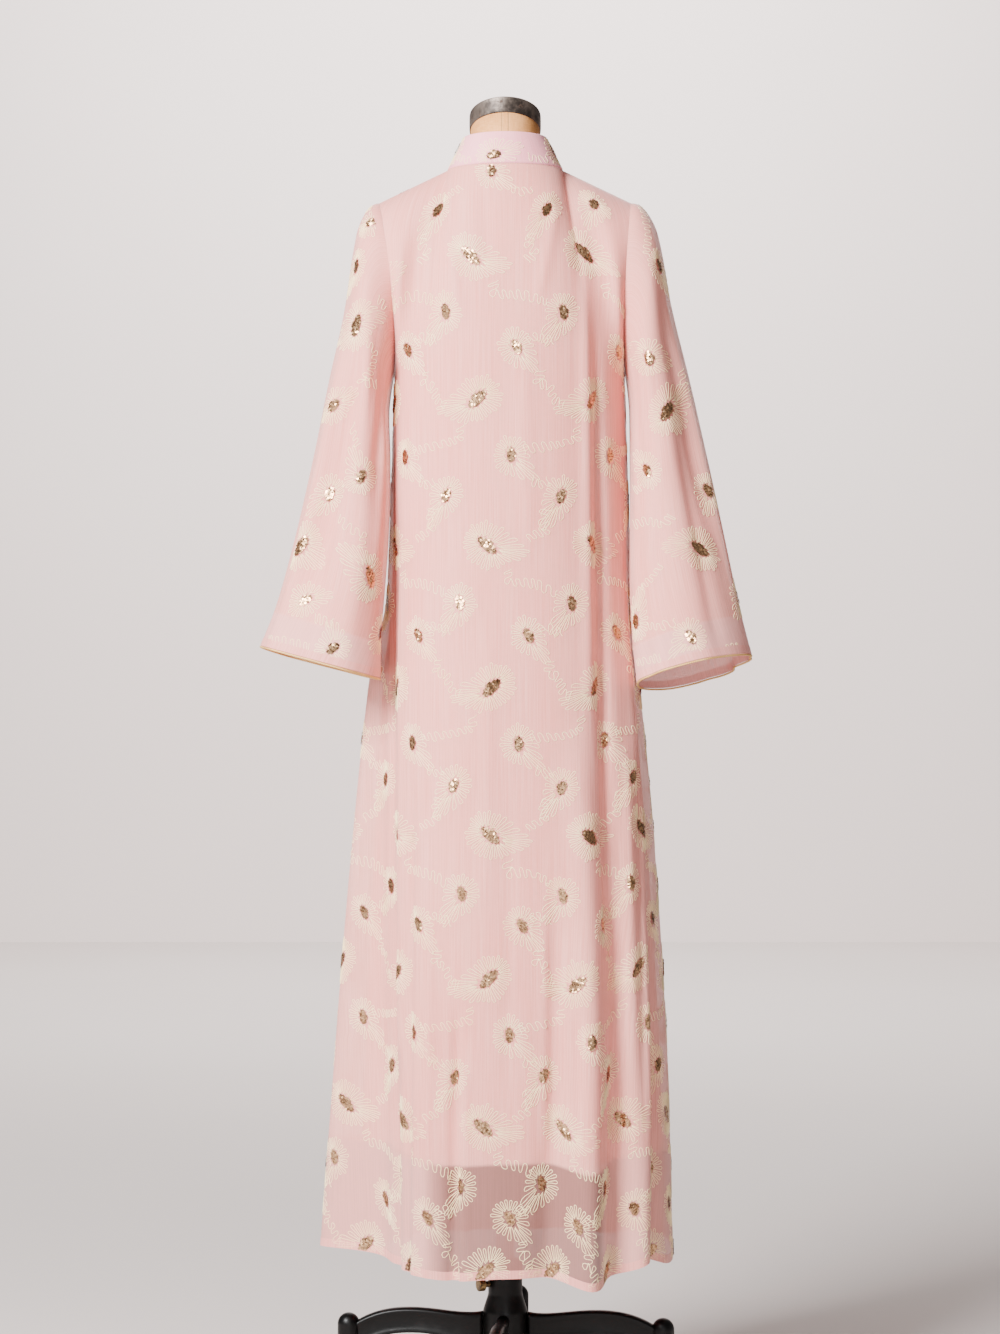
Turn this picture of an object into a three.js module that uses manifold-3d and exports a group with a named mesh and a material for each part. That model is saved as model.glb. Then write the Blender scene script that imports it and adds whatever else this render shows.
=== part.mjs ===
// A long kaftan with bell sleeves and a stand collar, lined, worn by a limbless dress form on a cast stand.
// Millimetres, +Z up. The floor is z = 0 and the pole's axis is x = y = 0. The kaftan's back faces -Y.
// Each cloth panel is a grid of points on its outer face, given a wall on the inside.
import * as THREE from 'three';
import { mergeVertices } from 'three/addons/utils/BufferGeometryUtils.js';
import Module from 'manifold-3d';

const wasm = await Module();
wasm.setup();

// Thicknesses and clearances
const clothWall = 1.5;
const liningWall = 1.0;
const collarWall = 2.0;
const seamGap = 0.3;
const armholeGap = 0.4; // from each side of an armhole seam to its middle
const liningEase = { yoke: 4, skirt: 8 }; // between the outer cloth and the lining, away from the seams
const liningFoldShare = 0.55; // the lining's folds, as a share of the outer cloth's
const pipingRadius = 1.5;

// Neck seam, shoulder seams and underarm
const neck = { side: 78, back: 66, front: 70, height: 1706, frontDrop: 38 };
const collarTop = { side: 56, back: 58, front: 62, height: 1750, frontDrop: 38 };
const neckDropPower = 1.6; // how gently a neck ring drops towards the front
const collarOpening = { bottom: 3, top: 5.5 }; // degrees from the centre front to each end
const shoulder = { side: 170, height: 1662 };
const underarmHeight = 1430;
const frontSlit = { bottom: 1445, halfWidth: 3, reach: 0.12 };
const shoulderShare = 0.25; // of a panel's width, for each shoulder seam

// How the cloth leaves the shoulder and neck seams, and how it reaches the underarm level
const drape = {
  back: { shoulderFall: 0.24, centreFall: 0.87, shoulderReach: 100, centreReach: 75 },
  front: { shoulderFall: 0.3, centreFall: 0.93, shoulderReach: 100, centreReach: 70 },
  armholeReach: 108, armholeRise: 0.75, underarmReach: 105, armholeTuck: 7,
  edgeShare: 0.2, centreStart: 0.12, centreShare: 0.38, // shares of a panel's width
};

// Plan of the body at each height: reach to each side of the pole, depth of the side seams, and squareness
const bodySections = [
  { z: 1430, left: 149, right: 161, back: 116, front: 122, seam: 0, square: 2.25 },
  { z: 1261, left: 155, right: 167, back: 122, front: 128, seam: 10, square: 2.3 },
  { z: 1126, left: 160, right: 172, back: 128, front: 134, seam: 22, square: 2.35 },
  { z: 1000, left: 163, right: 184, back: 134, front: 142, seam: 30, square: 2.45 },
  { z: 816, left: 163, right: 201, back: 141, front: 155, seam: 34, square: 2.6 },
  { z: 640, left: 162, right: 213, back: 148, front: 168, seam: 34, square: 2.8 },
  { z: 478, left: 160, right: 221, back: 154, front: 180, seam: 34, square: 2.9 },
  { z: 230, left: 158, right: 227, back: 160, front: 198, seam: 34, square: 3.0 },
];

// Folds of the skirt: each starts at its top, and runs from one bearing to another at the hem.
// Bearings are in degrees round the pole: 0 right, 90 front, 180 left, 270 back.
// Depth is outward, at the hem.
const foldGrowth = { power: 0.8, onset: 6 };
const skirtFolds = [
  { top: 1170, from: 180, to: 180, spread: 7.5, depth: 94 },
  { top: 1425, from: 318, to: 299, spread: 5.5, depth: -16 },
  { top: 1350, from: 340, to: 313, spread: 6, depth: 14 },
  { top: 900, from: 330, to: 325, spread: 5, depth: -11 },
  { top: 1000, from: 296, to: 289, spread: 6.5, depth: 27 },
  { top: 780, from: 282, to: 277, spread: 4, depth: -17 },
  { top: 620, from: 256, to: 253, spread: 5, depth: -9 },
  { top: 900, from: 236, to: 231, spread: 6, depth: 8 },
  { top: 1300, from: 206, to: 207, spread: 6, depth: -12 },
  { top: 1250, from: 40, to: 44, spread: 7, depth: 20 },
  { top: 1150, from: 62, to: 60, spread: 5, depth: -18 },
  { top: 1000, from: 80, to: 77, spread: 6, depth: 16 },
  { top: 950, from: 104, to: 103, spread: 5, depth: -16 },
  { top: 1100, from: 124, to: 121, spread: 6, depth: 18 },
  { top: 1250, from: 150, to: 148, spread: 6, depth: -14 },
];

// Height of the hem, and where it dips or lifts
const hemHeight = 242;
const hemSwings = [
  { bearing: 290, spread: 9, rise: -15 },
  { bearing: 252, spread: 16, rise: -6 },
  { bearing: 184, spread: 10, rise: 10 },
  { bearing: 320, spread: 12, rise: 15 },
  { bearing: 20, spread: 20, rise: 8 },
];

// Sleeves, along each from the armhole to the cuff: the upper and the under line, half depth and set back
const leftSleeve = {
  side: -1,
  rows: [
    { at: 0, outX: 170, outZ: 1662, inX: 149, inZ: 1430, depth: 71, back: 0 },
    { at: 0.08, outX: 190, outZ: 1655, inX: 153, inZ: 1411, depth: 74, back: 4 },
    { at: 0.18, outX: 203, outZ: 1604, inX: 156, inZ: 1376, depth: 73, back: 12 },
    { at: 0.32, outX: 217, outZ: 1512, inX: 154, inZ: 1318, depth: 67, back: 26 },
    { at: 0.46, outX: 237, outZ: 1420, inX: 154, inZ: 1260, depth: 62, back: 36 },
    { at: 0.6, outX: 256, outZ: 1325, inX: 156, inZ: 1200, depth: 60, back: 46 },
    { at: 0.74, outX: 281, outZ: 1214, inX: 160, inZ: 1142, depth: 63, back: 54 },
    { at: 0.88, outX: 306, outZ: 1122, inX: 165, inZ: 1078, depth: 69, back: 58 },
    { at: 1, outX: 328, outZ: 1065, inX: 166, inZ: 1022, depth: 76, back: 60 },
  ],
  folds: [
    { around: 0.36, spread: 0.05, depth: -15, start: 0.04, end: 0.62 },
    { around: 0.2, spread: 0.035, depth: -11, start: 0.22, end: 0.96 },
    { around: 0.11, spread: 0.04, depth: 6, start: 0.3, end: 1.3 },
    { around: 0.3, spread: 0.05, depth: 7, start: 0.45, end: 1.4 },
    { around: 0.7, spread: 0.06, depth: -12, start: 0.2, end: 1.3 },
    { around: 0.84, spread: 0.05, depth: 9, start: 0.35, end: 1.3 },
  ],
  cuff: { backRise: 1, frontRise: -4 },
};
const rightSleeve = {
  side: 1,
  rows: [
    { at: 0, outX: 170, outZ: 1662, inX: 161, inZ: 1430, depth: 71, back: 0 },
    { at: 0.08, outX: 193, outZ: 1656, inX: 165, inZ: 1411, depth: 74, back: 4 },
    { at: 0.18, outX: 209, outZ: 1604, inX: 167, inZ: 1376, depth: 73, back: 13 },
    { at: 0.32, outX: 224, outZ: 1520, inX: 167, inZ: 1318, depth: 67, back: 28 },
    { at: 0.46, outX: 247, outZ: 1425, inX: 167, inZ: 1260, depth: 62, back: 39 },
    { at: 0.6, outX: 269, outZ: 1330, inX: 166, inZ: 1198, depth: 60, back: 50 },
    { at: 0.74, outX: 294, outZ: 1220, inX: 166, inZ: 1138, depth: 64, back: 58 },
    { at: 0.88, outX: 316, outZ: 1115, inX: 169, inZ: 1072, depth: 70, back: 66 },
    { at: 1, outX: 332, outZ: 1049, inX: 175, inZ: 1016, depth: 77, back: 72 },
  ],
  folds: [
    { around: 0.37, spread: 0.05, depth: -13, start: 0.04, end: 0.6 },
    { around: 0.14, spread: 0.04, depth: -9, start: 0.12, end: 0.8 },
    { around: 0.24, spread: 0.05, depth: 7, start: 0.3, end: 1.4 },
    { around: 0.4, spread: 0.04, depth: -7, start: 0.4, end: 1.2 },
    { around: 0.93, spread: 0.045, depth: -20, start: 0.55, end: 1.5 },
    { around: 0.72, spread: 0.06, depth: 8, start: 0.3, end: 1.3 },
  ],
  cuff: { backRise: 13, frontRise: -17 },
};
const sleeveForm = { roundness: 0.88, outerBack: 0.4, armhole: 0.16, foldOnset: 0.25, cuffStart: 0.7 };
const sleeveLength = 640; // along the middle
const liningAboveHem = 148;
const liningAboveCuff = 62;

// How many points each panel has across and down
const grids = {
  bodyColumns: 36, yokeRows: 8, skirtRows: 12, sleeveRows: 12,
  liningSkirtRows: 6, collarColumns: 28, collarRows: 2,
};
const samples = { skirt: 360, sleeve: 240, bearingStep: 0.25 };
const sides = { piping: 5, form: 28, pole: 16, hub: 24, leg: 16, thumbScrew: 12 };

// Dress form: half width, reach to the back and front, and squareness at each height
const formSections = [
  { z: 1090, side: 126, back: 96, front: 102, square: 2.1 },
  { z: 1135, side: 131, back: 102, front: 108, square: 2.1 },
  { z: 1200, side: 130, back: 100, front: 106, square: 2.1 },
  { z: 1270, side: 121, back: 92, front: 100, square: 2.1 },
  { z: 1335, side: 113, back: 86, front: 94, square: 2.1 },
  { z: 1400, side: 124, back: 94, front: 103, square: 2.1 },
  { z: 1460, side: 134, back: 98, front: 104, square: 2.1 },
  { z: 1520, side: 139, back: 94, front: 96, square: 2.1 },
  { z: 1575, side: 144, back: 84, front: 80, square: 2.0 },
  { z: 1625, side: 150, back: 64, front: 60, square: 1.8 },
];
const formShoulder = { inner: 100, outer: 158, steps: 4, innerDepth: 24, outerDepth: 30, square: 1.1 };
const formNeck = { side: 46.8, back: 51, front: 51, foot: 1698, top: 1779.5, slant: 18.5 };
const neckCap = { thickness: 19.6, overhang: 1.6, bevel: 1.5 };

// Stand
const pole = { radius: 12, bottom: 50 };
const hub = { radius: 23, foot: 30, top: 236, bottom: 92, flareTop: 190, flareBottom: 168, clearance: 0.4 };
const leg = { reach: 213, width: 17, barrelRadius: 15, barrelTop: 161, barrelBottom: 46, turn: -5 };
const foot = { radius: 19, neckRadius: 9, padHeight: 20, bevel: 3, shoulder: 5 };
const thumbScrew = {
  height: 205, bearing: 205, shankRadius: 4.2, shankLength: 8, headRadius: 8.5, headLength: 9,
};
// A leg's outline: reach and height, with the two handles of each curve before its end
const legOutline = {
  topStart: 166,
  top: [[52, 160, 82, 169, 118, 169.5], [150, 170, 185, 164, leg.reach, 142]],
  underStart: 104,
  under: [[188, 130, 160, 136, 130, 136], [90, 136, 60, 124, hub.foot + seamGap, 104]],
};
const legNames = ['right', 'front', 'left', 'back'];

const radians = THREE.MathUtils.degToRad;
const lerp = THREE.MathUtils.lerp;
const smooth = (x) => THREE.MathUtils.smoothstep(x, 0, 1);
const bell = (x) => Math.exp(-x * x);
const signedPower = (x, p) => Math.sign(x) * Math.abs(x) ** p;

// A smooth value of one column of a table, between the rows whose key column lies on each side
function between(rows, key, column, at) {
  const rising = rows[rows.length - 1][key] > rows[0][key];
  const order = rising ? rows : [...rows].reverse();
  const last = order.length - 2;
  let i = 0;
  while (i < last && at > order[i + 1][key]) i += 1;
  const slope = (k) => {
    const a = order[Math.max(k - 1, 0)];
    const b = order[Math.min(k + 1, last + 1)];
    return (b[column] - a[column]) / (b[key] - a[key]);
  };
  const span = order[i + 1][key] - order[i][key];
  const t = THREE.MathUtils.clamp((at - order[i][key]) / span, 0, 1);
  const t2 = t * t;
  const t3 = t2 * t;
  return (2 * t3 - 3 * t2 + 1) * order[i][column] + (t3 - 2 * t2 + t) * span * slope(i)
    + (3 * t2 - 2 * t3) * order[i + 1][column] + (t3 - t2) * span * slope(i + 1);
}

// Points spread evenly along a line of points
function spread(line, count) {
  const lengths = [0];
  for (let i = 1; i < line.length; i += 1) lengths.push(lengths[i - 1] + line[i].distanceTo(line[i - 1]));
  const total = lengths[line.length - 1];
  let k = 1;
  return Array.from({ length: count + 1 }, (_, i) => {
    const at = (total * i) / count;
    while (k < line.length - 1 && lengths[k] < at) k += 1;
    return line[k - 1].clone().lerp(line[k], (at - lengths[k - 1]) / (lengths[k] - lengths[k - 1]));
  });
}

// A point of the body's plan before its folds, at a bearing and height
function planPoint(bearing, z) {
  const value = (column) => between(bodySections, 'z', column, z);
  const c = Math.cos(radians(bearing));
  const s = Math.sin(radians(bearing));
  const power = 2 / value('square');
  const seam = value('seam');
  const x = (c > 0 ? value('right') : value('left')) * signedPower(c, power);
  const depth = s > 0 ? value('front') - seam : value('back') + seam;
  return new THREE.Vector3(x, seam + depth * signedPower(s, power), z);
}

// A point of the skirt at a bearing in degrees: share is 0 at the underarm and 1 at the hem
function skirtPoint(bearing, share, foldShare) {
  const hem = hemHeight + hemSwings.reduce(
    (sum, swing) => sum + swing.rise * bell((bearing - swing.bearing) / swing.spread), 0);
  const z = lerp(underarmHeight, hem, share);
  const step = samples.bearingStep;
  const along = planPoint(bearing + step, z).sub(planPoint(bearing - step, z));
  const outward = new THREE.Vector3(along.y, -along.x, 0).normalize();
  let push = 0;
  for (const fold of skirtFolds) {
    const down = THREE.MathUtils.clamp((fold.top - z) / (fold.top - hemHeight), 0, 1);
    const centre = lerp(fold.from, fold.to, down);
    const growth = down ** foldGrowth.power * smooth(down * foldGrowth.onset);
    push += fold.depth * growth * bell((bearing - centre) / fold.spread);
  }
  return planPoint(bearing, z).addScaledVector(outward, push * foldShare);
}

// The skirt's line round one panel, from the left seam to the right seam
function skirtRow(panel, share, columns, foldShare) {
  const [start, end] = panel === 'back' ? [180, 360] : [180, 0];
  const line = Array.from({ length: samples.skirt + 1 }, (_, i) =>
    skirtPoint(lerp(start, end, i / samples.skirt), share, foldShare));
  return spread(line, columns);
}

// A point of a neck ring: bearing in degrees as above
function ringPoint(ring, bearing) {
  const c = Math.cos(radians(bearing));
  const s = Math.sin(radians(bearing));
  const drop = s > 0 ? ring.frontDrop * s ** neckDropPower : 0;
  return new THREE.Vector3(ring.side * c, (s > 0 ? ring.front : ring.back) * s, ring.height - drop);
}

// A panel's top edge: left shoulder seam, neck seam, right shoulder seam
function topPoint(panel, u) {
  const fromEdge = Math.min(u, 1 - u) / shoulderShare;
  if (fromEdge < 1) {
    const side = u < 0.5 ? -1 : 1;
    return new THREE.Vector3(side * lerp(shoulder.side, neck.side, fromEdge), 0,
      lerp(shoulder.height, neck.height, fromEdge));
  }
  const turn = (u - shoulderShare) / (1 - 2 * shoulderShare);
  return ringPoint(neck, panel === 'back' ? lerp(180, 360, turn) : lerp(180, 0, turn));
}

// The line down a panel from its top edge to a point at the underarm level
function yokeCurve(panel, u, bottom) {
  const facing = panel === 'back' ? -1 : 1;
  const form = drape[panel];
  const fromEdge = Math.min(u, 1 - u);
  const toCentre = smooth((fromEdge - drape.centreStart) / drape.centreShare);
  const toInside = smooth(fromEdge / drape.edgeShare);
  const fall = lerp(form.shoulderFall, form.centreFall, toCentre);
  const leave = new THREE.Vector3(0, facing * Math.sqrt(1 - fall * fall), -fall);
  const atEdge = new THREE.Vector3(0, facing, drape.armholeRise);
  const arrive = atEdge.lerp(new THREE.Vector3(0, 0, 1), toInside).normalize();
  const tuck = (1 - toInside) * drape.armholeTuck * (u < 0.5 ? 1 : -1);
  const top = topPoint(panel, u);
  const upper = top.clone().addScaledVector(leave, lerp(form.shoulderReach, form.centreReach, toCentre));
  const rise = lerp(drape.armholeReach, drape.underarmReach, toInside);
  const lower = bottom.clone().addScaledVector(arrive, rise);
  upper.x += tuck;
  lower.x += tuck;
  return new THREE.CubicBezierCurve3(top, upper, lower, bottom);
}

// Grid of a whole panel, rows from the top edge to the hem, columns from the left seam to the right
function panelGrid(panel, columns, yokeRows, skirtRows, hemShare = 1, foldShare = 1) {
  const lines = skirtRow(panel, 0, columns, foldShare).map((point, c) =>
    yokeCurve(panel, c / columns, point).getSpacedPoints(yokeRows));
  const yoke = Array.from({ length: yokeRows }, (_, r) => lines.map((line) => line[r]));
  const skirt = Array.from({ length: skirtRows + 1 }, (_, r) =>
    skirtRow(panel, (hemShare * r) / skirtRows, columns, foldShare));
  return [...yoke, ...skirt];
}

// The armhole's edge, once round from the shoulder through the back and the underarm
function armholeEdge(side) {
  const bottom = planPoint(side < 0 ? 180 : 0, underarmHeight);
  const [back, front] = ['back', 'front'].map((panel) => yokeCurve(panel, side < 0 ? 0 : 1, bottom));
  return (around) => (around <= 0.5 ? back.getPointAt(around * 2) : front.getPointAt((1 - around) * 2));
}

function sleevePoint(sleeve, armhole, around, at) {
  const value = (column) => between(sleeve.rows, 'at', column, at);
  const outerY = -value('back') * sleeveForm.outerBack;
  const outer = new THREE.Vector3(sleeve.side * value('outX'), outerY, value('outZ'));
  const inner = new THREE.Vector3(sleeve.side * value('inX'), -value('back'), value('inZ'));
  const turn = around * 2 * Math.PI;
  const c = signedPower(Math.cos(turn), sleeveForm.roundness);
  const s = signedPower(Math.sin(turn), sleeveForm.roundness);
  const oval = outer.clone().lerp(inner, (1 - c) / 2);
  oval.y -= value('depth') * s;
  const nearCuff = smooth((at - sleeveForm.cuffStart) / (1 - sleeveForm.cuffStart));
  oval.z += (s > 0 ? sleeve.cuff.backRise : -sleeve.cuff.frontRise) * s * nearCuff;
  const middle = outer.clone().add(inner).multiplyScalar(0.5);
  const outward = oval.clone().sub(middle).normalize();
  for (const fold of sleeve.folds) {
    const { foldOnset } = sleeveForm;
    const grow = smooth((at - fold.start) / foldOnset) * smooth((fold.end - at) / foldOnset);
    oval.addScaledVector(outward, fold.depth * grow * bell((around - fold.around) / fold.spread));
  }
  return armhole(around).lerp(oval, smooth(at / sleeveForm.armhole));
}

// Grid of a sleeve: rows from the armhole to the cuff, columns round it, the first and last column alike
function sleeveGrid(sleeve, columns, rows, end = 1) {
  const half = samples.sleeve / 2;
  const armhole = armholeEdge(sleeve.side);
  return Array.from({ length: rows + 1 }, (_, r) => {
    const line = Array.from({ length: samples.sleeve + 1 }, (__, i) =>
      sleevePoint(sleeve, armhole, i / samples.sleeve, (end * r) / rows));
    const backHalf = spread(line.slice(0, half + 1), columns / 2);
    return [...backHalf, ...spread(line.slice(half), columns / 2).slice(1)];
  });
}

// Outward direction at each point of a grid. Facing is 1 or -1, by which way the columns run
function gridNormals(grid, facing, closed) {
  const last = grid[0].length - 1;
  return grid.map((row, r) => row.map((point, c) => {
    const left = closed && c === 0 ? last - 1 : Math.max(c - 1, 0);
    const right = closed && c === last ? 1 : Math.min(c + 1, last);
    const across = row[right].clone().sub(row[left]);
    const below = grid[Math.min(r + 1, grid.length - 1)][c];
    const down = below.clone().sub(grid[Math.max(r - 1, 0)][c]);
    const normal = across.cross(down).multiplyScalar(facing);
    const edge = !closed && (c === 0 || c === last);
    if (edge || (r === 0 && !closed)) keepToSeam(normal, point, edge);
    return normal.normalize();
  }));
}

// At a seam the two panels' walls meet face to face: on the centre front, the side seams and the shoulders
function keepToSeam(normal, point, edge) {
  if (edge && Math.abs(point.x) < neck.side) normal.x = 0;
  else if (edge && point.z < underarmHeight + 1) normal.y = 0;
  else if (Math.abs(point.y) < 1) normal.y = 0;
}

// The same grid, moved in by a depth that may differ from point to point
function inset(grid, facing, closed, depthAt) {
  const normals = gridNormals(grid, facing, closed);
  return grid.map((row, r) => row.map((point, c) =>
    point.clone().addScaledVector(normals[r][c], -depthAt(r, c))));
}

// Draws the edges of a grid back by half a seam's gap, and by more along an armhole
function trim(grid, closed) {
  const back = (edge, next, gap) => edge.clone().add(next.clone().sub(edge).setLength(gap));
  const onArmhole = (point) => point.z > underarmHeight && Math.abs(point.x) > neck.side;
  const sideGap = (point) => (onArmhole(point) ? armholeGap : seamGap / 2);
  const rows = grid.map((row) => {
    if (closed) return row;
    const last = row.length - 1;
    const [start, end] = [row[0], row[last]];
    const first = back(start, row[1], sideGap(start));
    return [first, ...row.slice(1, last), back(end, row[last - 1], sideGap(end))];
  });
  rows[0] = rows[0].map((point, c) => back(point, rows[1][c], closed ? armholeGap : seamGap / 2));
  return rows;
}

function geometryOf(points, triangles) {
  const geometry = new THREE.BufferGeometry();
  const numbers = points.flatMap((p) => [p.x, p.y, p.z]);
  geometry.setAttribute('position', new THREE.Float32BufferAttribute(numbers, 3));
  geometry.setIndex(triangles);
  geometry.computeVertexNormals();
  return geometry;
}

// A closed wall between two grids, the outer and the inner
function wallBetween(outer, inner, facing, closed) {
  const rows = outer.length;
  const columns = outer[0].length - (closed ? 1 : 0);
  const points = [...outer, ...inner].flatMap((row) => row.slice(0, columns));
  const at = (side, r, c) => (side * rows + r) * columns + (c % columns);
  const triangles = [];
  const quad = (a, b, c, d) => triangles.push(...(facing > 0 ? [a, b, c, a, c, d] : [a, c, b, a, d, c]));
  const steps = closed ? columns : columns - 1;
  for (let r = 0; r < rows - 1; r += 1) {
    for (let c = 0; c < steps; c += 1) {
      quad(at(0, r, c), at(0, r, c + 1), at(0, r + 1, c + 1), at(0, r + 1, c));
      quad(at(1, r, c), at(1, r + 1, c), at(1, r + 1, c + 1), at(1, r, c + 1));
    }
    if (!closed) {
      quad(at(0, r, 0), at(0, r + 1, 0), at(1, r + 1, 0), at(1, r, 0));
      quad(at(0, r, steps), at(1, r, steps), at(1, r + 1, steps), at(0, r + 1, steps));
    }
  }
  for (let c = 0; c < steps; c += 1) {
    quad(at(0, 0, c), at(1, 0, c), at(1, 0, c + 1), at(0, 0, c + 1));
    quad(at(0, rows - 1, c), at(0, rows - 1, c + 1), at(1, rows - 1, c + 1), at(1, rows - 1, c));
  }
  return geometryOf(points, triangles);
}

function wall(grid, facing, closed, thickness) {
  return wallBetween(grid, inset(grid, facing, closed, () => thickness), facing, closed);
}

// A solid through closed rings, each a list of points, the lowest first
function solidThrough(rings) {
  const count = rings[0].length;
  const points = rings.flat();
  const triangles = [];
  rings.slice(1).forEach((_, r) => {
    for (let c = 0; c < count; c += 1) {
      const a = r * count + c;
      const b = r * count + ((c + 1) % count);
      triangles.push(a, b, b + count, a, b + count, a + count);
    }
  });
  const first = points.length;
  points.push(centreOf(rings[0]), centreOf(rings[rings.length - 1]));
  const top = (rings.length - 1) * count;
  for (let c = 0; c < count; c += 1) {
    const next = (c + 1) % count;
    triangles.push(first, next, c, first + 1, top + c, top + next);
  }
  return geometryOf(points, triangles);
}

function centreOf(points) {
  return points.reduce((sum, p) => sum.add(p), new THREE.Vector3()).divideScalar(points.length);
}

function manifoldOf(geometry) {
  const plain = geometry.clone();
  for (const name of Object.keys(plain.attributes)) {
    if (name !== 'position') plain.deleteAttribute(name);
  }
  const merged = mergeVertices(plain, 1e-4);
  const mesh = new wasm.Mesh({
    numProp: 3,
    vertProperties: new Float32Array(merged.attributes.position.array),
    triVerts: new Uint32Array(merged.index.array),
  });
  return new wasm.Manifold(mesh);
}

function geometryFrom(manifold) {
  const mesh = manifold.getMesh();
  const geometry = new THREE.BufferGeometry();
  geometry.setAttribute('position', new THREE.BufferAttribute(new Float32Array(mesh.vertProperties), 3));
  geometry.setIndex([...mesh.triVerts]);
  geometry.computeVertexNormals();
  return geometry;
}

function finish(color, roughness, metalness) {
  return new THREE.MeshStandardMaterial({ color, roughness, metalness });
}

const finishes = {
  chiffon: finish(0xeccbc7, 0.85, 0),
  lining: finish(0xf0c4c0, 0.8, 0),
  collar: finish(0xf0d0d8, 0.8, 0),
  goldCord: finish(0xc9a878, 0.45, 0.6),
  linen: finish(0xe0c8a6, 0.9, 0),
  wornZinc: finish(0x8a857e, 0.6, 0.7),
  blackIron: finish(0x1c1b1c, 0.5, 0.3),
  steel: finish(0x8f8f90, 0.35, 0.9),
  brass: finish(0x8c7a52, 0.4, 0.9),
};

const part = new THREE.Group();

function add(name, geometry, finishName) {
  const mesh = new THREE.Mesh(geometry, finishes[finishName]);
  mesh.name = name;
  part.add(mesh);
  return mesh;
}

// How far the front slit is open at a height, as a share of its width at the neck
function slitShare(z) {
  return smooth((z - frontSlit.bottom) / (neck.height - neck.frontDrop - frontSlit.bottom));
}

// The front slit: pushes a front grid's points away from the centre, more so towards the neck
function openSlit(grid) {
  const last = grid[0].length - 1;
  return grid.map((row) => row.map((point, c) => {
    const fromCentre = Math.abs(c / last - 0.5);
    const side = c < last / 2 ? -1 : 1;
    const shift = frontSlit.halfWidth * slitShare(point.z) * (1 - smooth(fromCentre / frontSlit.reach));
    return c === last / 2 ? point : point.clone().add(new THREE.Vector3(side * shift, 0, 0));
  }));
}

// One half of a front grid, with its centre edge drawn back from the other half's
function frontHalf(grid, side) {
  const middle = (grid[0].length - 1) / 2;
  return grid.map((row) => {
    const half = side < 0 ? row.slice(0, middle + 1) : row.slice(middle);
    const edge = row[middle].clone();
    edge.x += side * frontSlit.halfWidth * slitShare(edge.z);
    return side < 0 ? [...half.slice(0, -1), edge] : [edge, ...half.slice(1)];
  });
}

// The columns of both panels run from left to right, so their outward sides are opposite
const facingOf = { back: -1, front: 1 };

function addBody() {
  const back = panelGrid('back', grids.bodyColumns, grids.yokeRows, grids.skirtRows);
  const front = openSlit(panelGrid('front', grids.bodyColumns, grids.yokeRows, grids.skirtRows));
  add('back', wall(trim(back, false), facingOf.back, false, clothWall), 'chiffon');
  for (const [name, side] of [['left', -1], ['right', 1]]) {
    const half = trim(frontHalf(front, side), false);
    add(`front_${name}`, wall(half, facingOf.front, false, clothWall), 'chiffon');
  }
}

// The lining keeps the first few columns of points beside a seam, and every third of the rest
const liningKept = { beside: 6, every: 3, easeColumns: 4 };
const keptInLining = (fromSeam) => fromSeam < liningKept.beside || fromSeam % liningKept.every === 0;

function addBodyLining() {
  const { bodyColumns, yokeRows, liningSkirtRows } = grids;
  const skirtLength = underarmHeight - hemHeight;
  const hemShare = (skirtLength - liningAboveHem) / skirtLength;
  const depthAt = (r, c) => clothWall + seamGap
    + liningEase.skirt * smooth((2 * (r - yokeRows)) / liningSkirtRows)
    + liningEase.yoke * Math.min(r, 1) * smooth(Math.min(c, bodyColumns - c) / liningKept.easeColumns);
  const [back, front] = ['back', 'front'].map((panel) => {
    const whole = panelGrid(panel, bodyColumns, yokeRows, liningSkirtRows, hemShare, liningFoldShare);
    const grid = inset(panel === 'front' ? openSlit(whole) : whole, facingOf[panel], false, depthAt);
    return grid.map((row) => row.filter((_, c) => keptInLining(Math.min(c, bodyColumns - c))));
  });
  add('lining_back', wall(trim(back, false), facingOf.back, false, liningWall), 'lining');
  for (const [name, side] of [['left', -1], ['right', 1]]) {
    const half = trim(frontHalf(front, side), false);
    add(`lining_front_${name}`, wall(half, facingOf.front, false, liningWall), 'lining');
  }
}

function addSleeve(name, sleeve) {
  const facing = sleeve.side;
  const columns = 2 * grids.yokeRows;
  const grid = trim(sleeveGrid(sleeve, columns, grids.sleeveRows), true);
  add(`sleeve_${name}`, wall(grid, facing, true, clothWall), 'chiffon');
  const end = 1 - liningAboveCuff / sleeveLength;
  const depthAt = (r) => clothWall + seamGap + liningEase.yoke * smooth(r / 2);
  const whole = inset(sleeveGrid(sleeve, columns, grids.sleeveRows, end), facing, true, depthAt);
  const liningGrid = trim(whole.filter((_, r) => r < 3 || r % 2 === 0), true);
  add(`lining_sleeve_${name}`, wall(liningGrid, facing, true, liningWall), 'lining');
  addPiping(name, grid, facing);
}

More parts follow.
